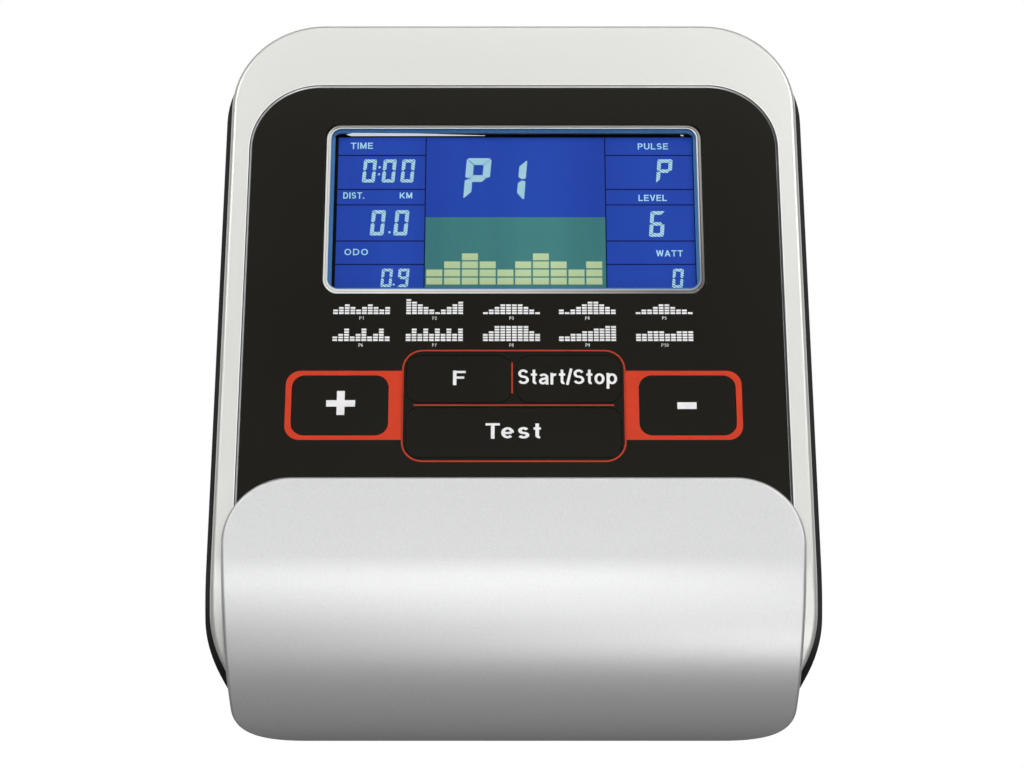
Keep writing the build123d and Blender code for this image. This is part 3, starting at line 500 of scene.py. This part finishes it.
# %% Give every CAD node its finish
finishes = {
    silver_lacquer: ["front_housing"],
    hood_lacquer: ["roll_cover"],
    black_abs: ["rear_housing", "lcd_frame"],
    velvet_film: ["fascia_film", "key_plus", "key_minus", "key_function", "key_start_stop", "key_test"],
    lens_acrylic: ["display_lens"],
    lcd_backlight_spill: ["lens_tape"],
    lcd_black: ["lcd_front_glass", "lcd_rear_glass"],
    foam: ["dust_gasket"],
    guide_acrylic: ["light_guide"],
    white_sheet: ["reflector_sheet"],
    led_phosphor: ["backlight_leds"],
    rubber: ["zebra_strips", "cable_grommet"],
    epoxy_board: ["main_board"],
    chip_epoxy: ["controller_chip", "buzzer"],
    can_metal: ["board_components"],
    nylon: ["harness_header", "pulse_header"],
    switch_nylon: ["tact_switches", "switch_plunger_plus", "switch_plunger_minus",
                   "switch_plunger_function", "switch_plunger_start_stop", "switch_plunger_test"],
    zinc: ["board_screws", "lcd_frame_screws", "housing_screws", "roll_cover_screws"],
    brass: ["mounting_inserts"],
}
for material, names in finishes.items():
    for name in names:
        slots = nodes[name].data.materials
        if not len(slots):
            slots.append(material)
        for index in range(len(slots)):
            slots[index] = material
bare = sorted(set(nodes) - {name for names in finishes.values() for name in names})
print("finished", len(nodes) - len(bare), "nodes; left bare:", bare)

# %% [markdown]
# ## Prints and foils as thin solids
# A print could be an image laid on the film, but then it would have no edge of its own.  Here
# each print is a real layer: outlines in x and z are filled by a flat curve, which copes with
# holes, extruded to the ink's thickness and turned into a mesh that stands on the face.  Outlines
# are given in millimetres.  One function makes every such layer, and another adds any finished
# mesh to the model.

# %% From outlines to a thin layer
def add_piece(name, mesh, material, body):
    """Adds a mesh to the model as a piece that moves with a body."""
    mesh.materials.clear()
    mesh.materials.append(material)
    made = bpy.data.objects.new(name, mesh)
    bpy.context.scene.collection.objects.link(made)
    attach(made, body)


def layer(name, outlines, back, thickness, material, body="console"):
    """A flat layer on a face: outlines are closed rings of (x, z) in mm, back is its rear y."""
    shape = bpy.data.curves.new(name, "CURVE")
    shape.dimensions = "2D"
    shape.fill_mode = "BOTH"
    shape.extrude = thickness / 2 / mm
    for outline in outlines:
        ring = shape.splines.new("POLY")
        ring.points.add(len(outline) - 1)
        for point, (x, z) in zip(ring.points, outline):
            point.co = (x, z, 0, 1)
        ring.use_cyclic_u = True
    drawn = bpy.data.objects.new(name + "_curve", shape)
    bpy.context.scene.collection.objects.link(drawn)
    bpy.context.view_layer.update()
    mesh = bpy.data.meshes.new_from_object(drawn.evaluated_get(bpy.context.evaluated_depsgraph_get()))
    bpy.data.objects.remove(drawn)
    mesh.name = name
    for vertex in mesh.vertices:
        x, z, out = vertex.co
        vertex.co = (x * mm, back - thickness / 2 - out * mm, z * mm)
    add_piece(name, mesh, material, body)


def arc(x, z, across, up, start, end, steps=10):
    """Points along an ellipse, anticlockwise from the right, in degrees."""
    turns = [math.radians(start + (end - start) * step / steps) for step in range(steps + 1)]
    return [(x + across * math.cos(t), z + up * math.sin(t)) for t in turns]


def rectangle(x, z, width, height):
    """Outline of a rectangle about its centre."""
    a, b = width / 2, height / 2
    return [(x - a, z - b), (x + a, z - b), (x + a, z + b), (x - a, z + b)]


def rounded(x, z, width, height, radius, corners=("ne", "nw", "sw", "se")):
    """Outline of a rectangle whose named corners are round."""
    places = [("ne", 1, 1, 0), ("nw", -1, 1, 90), ("sw", -1, -1, 180), ("se", 1, -1, 270)]
    ring = []
    for name, side, end, start in places:
        r = radius if name in corners else 0
        middle = (x + side * (width / 2 - r), z + end * (height / 2 - r))
        ring += arc(*middle, r, r, start, start + 90, 8) if r else [middle]
    return ring


ink = 0.03 * mm
print("ink layers are", ink / mm, "mm thick")

# %% [markdown]
# ## Red frames round the keys
# Three red frames tie the keys into one block: a thin line round the three centre keys, and
# thick frames round plus and minus that grow out of it.  They are printed on the film between
# the keys, so they stay with the console when a key goes down.

# %% Red frames
key_mid = face_mid - 8.9
key_hole = rounded(-69.4, 49.15, 38.8, 25.4, 5.25)
left_frame = rounded(-67.9, key_mid + 0.1, 46.6, 29.2, 5.9, ("nw", "sw"))
layer("red_frame_plus", [left_frame, key_hole], film_front, ink, red_ink)
layer("red_frame_minus", [[(-x, z) for x, z in reversed(left_frame)],
                          [(-x, z) for x, z in reversed(key_hole)]], film_front, ink, red_ink)
layer("red_line_centre", [rounded(0, key_mid, 89.5, 47.45, 8.3), rounded(0, key_mid, 88.2, 46.2, 7.7)],
      film_front, ink, fine_red_ink)
layer("red_rule_upright", [rectangle(-0.65, face_mid + 2.8, 0.6, 13.2)], film_front, ink, fine_red_ink)
layer("red_rule_level", [rectangle(0, key_mid + 0.1, 80, 0.55)], film_front, ink, fine_red_ink)
print("printed the red frames")

# %% [markdown]
# ## Dark ring round the window
# A thin black ring fills the narrow gap between the lens and the film, so that the gap reads dark.
# Without it the bright lacquer of the pocket shows through.

# %% Black ring in the gap
lens_size = (lens_high - lens_low) / mm
lens_corner = 5.0
film_back = film_front + 0.5 * mm
gap_ring = [rounded(0, lens_centre.z / mm, lens_size.x + 2 * out, lens_size.z + 2 * out, lens_corner + out)
        for out in (0.14, 0.02)]
layer("lens_gap_ring", gap_ring, film_back + 0.1 * mm, 0.4 * mm, rubber)
print("sealed the window")

# %% [markdown]
# ## Lettering
# The legends are a plain bold sans serif.  Its letters have strokes of one even width, so each
# letter is drawn like a sign writer does, with one flat pen: a stroke is a line or an arc, given
# in cap heights, and a ribbon as wide as the pen follows it.  A font file could do this too, but
# the strokes keep the script whole and make true solids.  Every stroke lies a hair above the one
# before it, so that crossing strokes never share a face.  Each letter has its advance and its
# strokes, and a pair of letters in `closer` stands nearer together than the rest.

# %% Strokes of the letters
closer = {"Te": -0.12}
stem = [(0.1, 0), (0.1, 1)]
letters = {
    "I": (0.2, [stem]), "/": (0.3, [[(0.03, -0.02), (0.27, 1.02)]]),
    ".": (0.2, [[(0.1, 0), (0.1, 0.2)]]),
    "F": (0.64, [stem, [(0.1, 0.9), (0.64, 0.9)], [(0.1, 0.52), (0.57, 0.52)]]),
    "T": (0.7, [[(0, 0.9), (0.7, 0.9)], [(0.35, 0), (0.35, 0.9)]]),
    "E": (0.66, [stem, [(0.1, 0.9), (0.64, 0.9)], [(0.1, 0.52), (0.6, 0.52)], [(0.1, 0.1), (0.66, 0.1)]]),
    "L": (0.62, [stem, [(0.1, 0.1), (0.62, 0.1)]]),
    "M": (0.84, [stem, [(0.74, 0), (0.74, 1)], [(0.12, 0.98), (0.42, 0.08)], [(0.72, 0.98), (0.42, 0.08)]]),
    "K": (0.74, [stem, [(0.14, 0.36), (0.64, 1)], [(0.28, 0.56), (0.66, 0)]]),
    "V": (0.72, [[(0.08, 1), (0.36, 0.04)], [(0.64, 1), (0.36, 0.04)]]),
    "W": (1.0, [[(0.08, 1), (0.27, 0.04)], [(0.5, 0.96), (0.27, 0.04)], [(0.5, 0.96), (0.73, 0.04)],
                [(0.92, 1), (0.73, 0.04)]]),
    "A": (0.78, [[(0.08, 0), (0.39, 0.97)], [(0.7, 0), (0.39, 0.97)], [(0.2, 0.3), (0.58, 0.3)]]),
    "D": (0.74, [stem, [(0.1, 0.9), *arc(0.36, 0.5, 0.28, 0.4, 90, -90), (0.1, 0.1)]]),
    "O": (0.8, [arc(0.4, 0.5, 0.3, 0.4, 90, 450, 24)]),
    "P": (0.66, [stem, [(0.1, 0.9), *arc(0.37, 0.68, 0.2, 0.22, 90, -90), (0.1, 0.46)]]),
    "U": (0.74, [[(0.1, 1), *arc(0.37, 0.34, 0.27, 0.24, 180, 360), (0.64, 1)]]),
    "S": (0.68, [[*arc(0.33, 0.7, 0.22, 0.2, 18, 262), *arc(0.34, 0.3, 0.24, 0.2, 82, -162)]]),
    "1": (0.5, [[(0.3, 0), (0.3, 1)], [(0.08, 0.74), (0.3, 0.94)]]),
    "2": (0.62, [[*arc(0.31, 0.69, 0.2, 0.21, 170, -35), (0.1, 0.1)], [(0.06, 0.1), (0.6, 0.1)]]),
    "3": (0.62, [arc(0.29, 0.7, 0.19, 0.2, 150, -90), arc(0.3, 0.3, 0.21, 0.2, 90, -150)]),
    "4": (0.62, [[(0.46, 0), (0.46, 1)], [(0.42, 0.96), (0.06, 0.3)], [(0.02, 0.28), (0.62, 0.28)]]),
    "5": (0.62, [[(0.56, 0.9), (0.14, 0.9)], [(0.16, 0.94), (0.12, 0.5)],
                 arc(0.3, 0.33, 0.21, 0.23, 130, -150)]),
    "6": (0.62, [arc(0.31, 0.32, 0.2, 0.22, 0, 360, 20), arc(0.36, 0.42, 0.26, 0.5, 80, 185)]),
    "7": (0.6, [[(0.03, 0.9), (0.56, 0.9)], [(0.5, 0.9), (0.22, 0)]]),
    "8": (0.62, [arc(0.31, 0.71, 0.17, 0.19, 0, 360, 20), arc(0.31, 0.3, 0.2, 0.2, 0, 360, 20)]),
    "9": (0.62, [arc(0.31, 0.68, 0.2, 0.22, 0, 360, 20), arc(0.26, 0.58, 0.26, 0.5, 5, -100)]),
    "0": (0.62, [arc(0.31, 0.5, 0.2, 0.4, 90, 450, 20)]),
    "t": (0.4, [[(0.2, 0.95), (0.2, 0.22), *arc(0.32, 0.2, 0.12, 0.11, 180, 280)],
                [(0.02, 0.64), (0.38, 0.64)]]),
    "a": (0.6, [[*arc(0.29, 0.46, 0.2, 0.18, 150, 0), (0.5, 0)],
                [(0.5, 0.41), *arc(0.26, 0.22, 0.16, 0.14, 90, 290), (0.5, 0.2)]]),
    "r": (0.42, [[(0.1, 0), (0.1, 0.74)], [*arc(0.32, 0.42, 0.22, 0.22, 180, 80)]]),
    "o": (0.64, [arc(0.32, 0.37, 0.22, 0.28, 90, 450, 20)]),
    "p": (0.66, [[(0.1, -0.27), (0.1, 0.74)], arc(0.34, 0.37, 0.22, 0.28, 90, 450, 20)]),
    "e": (0.64, [[(0.1, 0.36), (0.52, 0.36)], arc(0.32, 0.37, 0.22, 0.28, 0, 318, 18)]),
    "s": (0.58, [[*arc(0.28, 0.51, 0.17, 0.15, 18, 262), *arc(0.29, 0.22, 0.19, 0.14, 82, -162)]]),
}


def ribbon(points, pen):
    """Left and right side of an oval pen that follows a stroke, with mitred turns."""
    closed = math.dist(points[0], points[-1]) < 1e-6
    sides = []
    for index, (x, z) in enumerate(points):
        before = points[index - 1] if index else (points[-2] if closed else None)
        after = points[index + 1] if index + 1 < len(points) else (points[1] if closed else None)
        ways = []
        for start, end in ((before, (x, z)), ((x, z), after)):
            if start and end:
                length = math.dist(start, end)
                ways.append(((start[1] - end[1]) / length, (end[0] - start[0]) / length))
        nx, nz = (sum(way[i] for way in ways) / len(ways) for i in (0, 1))
        stretch = 0.5 / max(nx * nx + nz * nz, 0.4)
        du, dv = nx * stretch * pen[0], nz * stretch * pen[1]
        sides.append(((x + du, z + dv), (x - du, z - dv)))
    return sides


def ribbons_of(text, scale, pen, spacing):
    """Every stroke of a text in mm, and the low and high corner of its ink."""
    ribbons, cursor = [], 0.0
    for index, sign in enumerate(text):
        advance, strokes = letters[sign]
        for stroke in strokes:
            points = [((cursor + u) * scale[0], v * scale[1]) for u, v in stroke]
            ribbons.append(ribbon(points, pen))
        cursor += advance + spacing + closer.get(text[index:index + 2], 0.0)
    ink_points = [point for sides in ribbons for pair in sides for point in pair]
    low = [min(point[i] for point in ink_points) for i in (0, 1)]
    high = [max(point[i] for point in ink_points) for i in (0, 1)]
    return ribbons, low, high


# %% Words as thin solids
def word(name, text, x, z, width, height, back, material, body="console", pen=(0.5, 0.45),
         thickness=ink, spacing=0.13):
    """A word whose ink fills a place in mm: its centre, width and height; the pen is in mm too.

    The pen doesn't scale with the letters, so their scale is found in a few rounds."""
    scale = [height, height]
    for attempt in range(3):
        ribbons, low, high = ribbons_of(text, scale, pen, spacing)
        for axis, wanted in enumerate((width, height)):
            scale[axis] *= 1 + (wanted - high[axis] + low[axis]) / (high[axis] - low[axis])
    corners, faces = [], []
    for order, sides in enumerate(ribbons):
        top = thickness * (0.8 + 0.2 * order / len(ribbons))
        start = len(corners)
        for pair in sides:
            for u, v in pair:
                right = (x + u - (low[0] + high[0]) / 2) * mm
                up = (z + v - (low[1] + high[1]) / 2) * mm
                corners += [(right, back - top, up), (right, back, up)]
        for step in range(len(sides) - 1):
            a, b = start + 4 * step, start + 4 * step + 4
            faces += [(a, b, b + 2, a + 2), (a + 1, a + 3, b + 3, b + 1),
                      (a, a + 1, b + 1, b), (a + 2, b + 2, b + 3, a + 3)]
        end = start + 4 * len(sides) - 4
        faces += [(start, start + 2, start + 3, start + 1), (end, end + 1, end + 3, end + 2)]
    mesh = bpy.data.meshes.new(name)
    mesh.from_pydata(corners, [], faces)
    mesh.update()
    add_piece(name, mesh, material, body)


key_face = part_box("key_test")[0].y
word("legend_f", "F", -21.8, 60.8, 5.1, 6.2, key_face, white_ink, "function_key", (1.4, 0.95))
word("legend_start_stop", "Start/Stop", 21.6, 60.5, 39.6, 8.7, key_face, white_ink, "start_stop_key",
     (1.1, 0.92), spacing=0.08)
word("legend_test", "Test", -0.2, 38.34, 22.0, 6.5, key_face, white_ink, "test_key", (1.45, 0.95),
     spacing=0.17)
plus_bars = [(-74.85, 48.6), (-70.65, 48.6), (-70.65, 45.05), (-67.5, 45.05), (-67.5, 48.6), (-63.3, 48.6),
             (-63.3, 51.3), (-67.5, 51.3), (-67.5, 55.2), (-70.65, 55.2), (-70.65, 51.3), (-74.85, 51.3)]
layer("legend_plus", [plus_bars], key_face, ink, white_ink, "plus_key")
layer("legend_minus", [rectangle(69.1, 49.0, 7.7, 2.85)], key_face, ink, white_ink, "minus_key")
print("printed the key legends")

# %% [markdown]
# ## Program profiles
# Ten little bar charts show the training programs.  Each is ten columns of cells, and a chart is
# fully described by its column heights, so a table of digits is enough.

# %% Ten program charts
profiles = ["2343234323", "6543212345", "1234444321", "2123455432", "1223443221",
            "2352352352", "3535353535", "3466666643", "2233445566", "3344433444"]
chart_left = [-73.1, -43.5, -12.4, 18.3, 49.4]
chart_base = [face_mid + 30.3, face_mid + 18.6]
column_pitch, cell_pitch = 2.34, 1.14
cell_width, cell_height = 1.9, 0.8
for number, heights in enumerate(profiles):
    left, base = chart_left[number % 5], chart_base[number // 5]
    cells = [rectangle(left + column * column_pitch + cell_width / 2,
                       base + row * cell_pitch + cell_height / 2, cell_width, cell_height)
             for column, height in enumerate(heights) for row in range(int(height))]
    layer(f"program_chart_{number + 1}", cells, film_front, ink, white_ink)
    word(f"program_name_{number + 1}", f"P{number + 1}", left + 11.5, base - 1.75,
         1.7 if number < 9 else 2.8, 1.45, film_front, white_ink, pen=(0.17, 0.15))
print("printed", len(profiles), "program charts")

# %% [markdown]
# ## What the display shows
# The display is laid on the front glass as foils: the blue field, the green matrix window and, a
# hair in front of them, the lit segments and the dark gaps between the fields.  Beside the field
# the backlight's spill is painted as a blue glow on the tape that lines the window and on thin
# strips beside the field, and under the window's upper wall two thin streaks are a painted
# highlight that glows.

# %% Blue field and green window
lcd_x, lcd_z = lens_centre.x / mm, lens_centre.z / mm
foil = 0.15 * mm
hair = 0.02 * mm
field_left, field_right, field_low, field_high = -73.2, 74.5, -34.3, 34.2
matrix_left, matrix_right, matrix_high = -36.4, 37.8, -2.3


def between(left, right, low, high):
    """Outline of a rectangle between two corners, from the middle of the window."""
    return rectangle(lcd_x + (left + right) / 2, lcd_z + (low + high) / 2, right - left, high - low)


def foil_layer(name, outlines, back, thickness, material):
    """A layer of the display, made like any other layer."""
    layer(name, outlines, back, thickness, material)


foil_layer("display_field", [between(field_left, field_right, field_low, field_high)], glass_front, foil,
           lcd_blue)
foil_front = glass_front - foil
foil_layer("display_matrix_window", [between(matrix_left, matrix_right, field_low, matrix_high)],
           foil_front, hair, lcd_teal)
# Painted light: these strips glow blue with the backlight's spill.
foil_layer("display_spill_left", [between(-77, -74.6, -39, 39)], glass_front, foil, lcd_backlight_spill)
foil_layer("display_spill_right", [between(75.0, 77, -39, 39)], glass_front, foil, lcd_backlight_spill)
lining_back = lens_high.y + 0.6 * mm
foil_layer("display_lining_spill_left", [between(-75.2, -74.7, -34.9, 34.9)], lining_back, 0.1 * mm, lcd_backlight_spill)
foil_layer("display_lining_spill_right", [between(74.75, 75.2, -34.9, 34.9)], lining_back, 0.1 * mm, lcd_backlight_spill)


def glint(name, outline):
    """A painted highlight: a thin glowing streak under the upper wall of the window; corners are (x, y) in
    mm.
    """
    wall = (lcd_z + 34.95) * mm
    corners = [(x * mm, y * mm, wall - drop) for drop in (0, 0.05 * mm) for x, y in outline]
    count = len(outline)
    faces = [tuple(range(count)), tuple(reversed(range(count, 2 * count)))]
    faces += [(i, i + count, (i + 1) % count + count, (i + 1) % count) for i in range(count)]
    mesh = bpy.data.meshes.new(name)
    mesh.from_pydata(corners, [], faces)
    add_piece(name, mesh, lcd_painted_glint, "console")


glint("display_glint", [(-70, -66.4), (-67.5, -67.8), (-40, -67.4), (-12, -65.6), (-12, -65.3),
                        (-68, -65.1)])
glint("display_glint_right", [(69.6, -66.3), (71, -65.9), (71.2, -65.1), (70.2, -65.1)])
print("field is", round(field_right - field_left, 1), "by", round(field_high - field_low, 1), "mm")

# %% Dark gaps between the fields
gap, apart = 0.5, 0.02
gaps = [between(matrix_left - gap, matrix_left, field_low, field_high),
        between(matrix_right, matrix_right + gap, field_low, field_high)]
for level in (25.9, 10.3, 3.3, -13.0, -23.45):
    low, high = level - gap / 2, level + gap / 2
    gaps.append(between(field_left, matrix_left - gap - apart, low, high))
    gaps.append(between(matrix_right + gap + apart, field_right - apart, low, high))
gaps.append(between(field_right, field_right + gap, field_low, field_high))
foil_layer("display_gaps", gaps, foil_front, hair, lcd_line)
print(len(gaps), "gaps")

# %% [markdown]
# ## Seven-segment digits
# A digit is seven bars with mitred ends, cut outer corners and a thin gap between them, all
# sheared a few degrees.  The bars a to f run clockwise round the outside from the top, and g is
# the middle one.  The top and the upper right bar are drawn, and all but the middle one mirror
# them.

# %% Digits
bars_of = {"0": "abcdef", "1": "bc", "6": "acdefg", "9": "abcdfg", "P": "abefg"}


def digit(sign, x, z, width, height, bar):
    """Outlines of one digit centred on a place: width is without the shear."""
    out_x, out_z = width / 2, height / 2
    in_x, in_z = out_x - bar, out_z - bar
    half, gap, cut = bar / 2, 0.08 + 0.04 * bar, 0.22 * bar
    top = [(-out_x + cut, out_z), (out_x - cut, out_z), (out_x - cut / 2 - gap, out_z - cut / 2),
           (in_x - gap, in_z), (-in_x + gap, in_z), (-out_x + cut / 2 + gap, out_z - cut / 2)]
    right = [(out_x - cut / 2, out_z - cut / 2 - gap), (out_x, out_z - cut - gap),
             (out_x, gap + half * 0.4), (out_x - half, gap), (in_x, half), (in_x, in_z - gap)]
    shapes = {
        "a": top,
        "b": right,
        "c": [(p, -q) for p, q in reversed(right)],
        "d": [(p, -q) for p, q in reversed(top)],
        "g": [(-in_x + gap, half), (in_x - gap, half), (out_x - half - gap, 0),
              (in_x - gap, -half), (-in_x + gap, -half), (-out_x + half + gap, 0)],
    }
    shapes["f"] = [(-p, q) for p, q in reversed(shapes["b"])]
    shapes["e"] = [(-p, q) for p, q in reversed(shapes["c"])]
    lean = math.tan(math.radians(4.5))
    return [[(lcd_x + x + p + q * lean, lcd_z + z + q) for p, q in shapes[s]] for s in bars_of[sign]]


def dot(x, z, size):
    """Outline of a round dot."""
    return arc(lcd_x + x, lcd_z + z, size / 2, size / 2, 0, 330, 11)


segments = []
for sign, x, z, width, height, bar in [
        ("0", -60.1, 18.8, 5.4, 10.6, 1.5), ("0", -51.9, 18.8, 5.4, 10.6, 1.5),
        ("0", -44.1, 18.8, 5.4, 10.6, 1.5), ("0", -56.1, -4.8, 5.7, 11.4, 1.6),
        ("0", -46.4, -4.8, 5.7, 11.4, 1.6), ("0", -52.0, -29.4, 4.5, 8.1, 1.2),
        ("9", -45.2, -29.4, 4.5, 8.1, 1.2), ("P", 62.7, 18.7, 6.3, 10.9, 1.6),
        ("6", 59.2, -5.3, 6.1, 11.5, 1.6), ("0", 67.2, -29.6, 4.4, 8.4, 1.2),
        ("P", -15.1, 15.3, 10.3, 18.7, 3.1), ("1", -0.2, 14.7, 10.3, 18.7, 3.1)]:
    segments += digit(sign, x, z, width, height, bar)
segments += [dot(-55.9, 20.4, 1.0), dot(-56.1, 17.2, 1.0), dot(-51.3, -9.1, 1.0), dot(-49.1, -32.4, 0.9)]
foil_layer("display_digits", segments, foil_front, hair, lcd_digit)
print(len(segments), "segments")

# %% [markdown]
# ## Words and matrix cells
# Each field has its heading in small capitals, printed like the segments.  The green window shows
# the bars of the first training program, in cells over three times as wide as those on the film.

# %% Words and matrix cells in the display
for text, x, z, width in [("TIME", -63.5, 30.4, 9.3), ("DIST.", -66.35, 7.6, 8.7), ("KM", -44.7, 7.6, 5.2),
                          ("ODO", -64.75, -17.9, 9.7), ("PULSE", 58.2, 30.1, 12.7),
                          ("LEVEL", 57.6, 6.5, 11.8), ("WATT", 64.0, -18.5, 11.0)]:
    word(f"display_word_{text.strip('.').lower()}", text, lcd_x + x, lcd_z + z, width, 2.95, foil_front,
         lcd_word, thickness=hair)

across, up, wide, high = 7.28, 3.6, 6.55, 3.0
cells = [between(-35.8 + across * column, -35.8 + across * column + wide,
                 -32.35 + up * row, -32.35 + up * row + high)
         for column, height in enumerate(profiles[0]) for row in range(int(height))]
foil_layer("display_matrix_cells", cells, foil_front - hair, hair, lcd_green)
print(len(cells), "matrix cells")

# %% [markdown]
# ## Floor
# The floor is a pale sheet well below the console, which hangs above it as it would on its mast.
# It takes a soft shadow and fades out into the white sweep, so it has no edge.  It is one-sided,
# so that a camera that looks up from below sees the console through it.  The camera sees it
# lighter than the lamps alone would make it, and the console still gets only its true bounce.

# %% One-sided pale floor
floor_mesh = bpy.data.meshes.new("floor")
reach, floor_level, floor_glow = 1.5, -0.75, 0.55
floor_mesh.from_pydata([(-reach, -reach, floor_level), (reach, -reach, floor_level),
                        (reach, reach, floor_level), (-reach, reach, floor_level)], [], [(0, 1, 2, 3)])
floor = bpy.data.objects.new("floor", floor_mesh)
bpy.context.scene.collection.objects.link(floor)
floor_paint, tree = fresh("pale_floor")
where = add(tree, "TexCoord").outputs["Object"]
speck = add(tree, "TexNoise", {"Vector": where, "Scale": per(4 * mm), "Detail": 2.0})
tone = ramp(tree, speck.outputs["Fac"], [(0.3, "#B8B8B6"), (0.7, "#BEBEBC")])
matt = add(tree, "BsdfDiffuse", {"Color": tone.outputs["Color"]})
lift = add(tree, "Math", {0: add(tree, "LightPath").outputs["Is Camera Ray"], 1: floor_glow},
           operation="MULTIPLY")
veil = add(tree, "Emission", {"Color": linear("#FFFFFF"), "Strength": lift.outputs[0]})
sheet = add(tree, "AddShader", {0: matt.outputs[0], 1: veil.outputs[0]})
level = add(tree, "VectorMath", {0: where, 1: (1.0, 1.0, 0.0)}, operation="MULTIPLY")
distance = add(tree, "VectorMath", {0: level.outputs[0]}, operation="LENGTH")
fade = add(tree, "MapRange", {"Value": distance.outputs["Value"], "From Min": 0.3, "From Max": reach})
gone = add(tree, "Math", {0: fade.outputs[0], 1: add(tree, "NewGeometry").outputs["Backfacing"]},
           operation="MAXIMUM")
nothing = add(tree, "BsdfTransparent")
finish_with(tree, add(tree, "MixShader", {0: gone.outputs[0], 1: sheet.outputs[0], 2: nothing.outputs[0]}))
floor_mesh.materials.append(floor_paint)
print("floor at", floor_level, "m")

# %% Colour view, and the end
bpy.context.scene.view_settings.view_transform = "Standard"
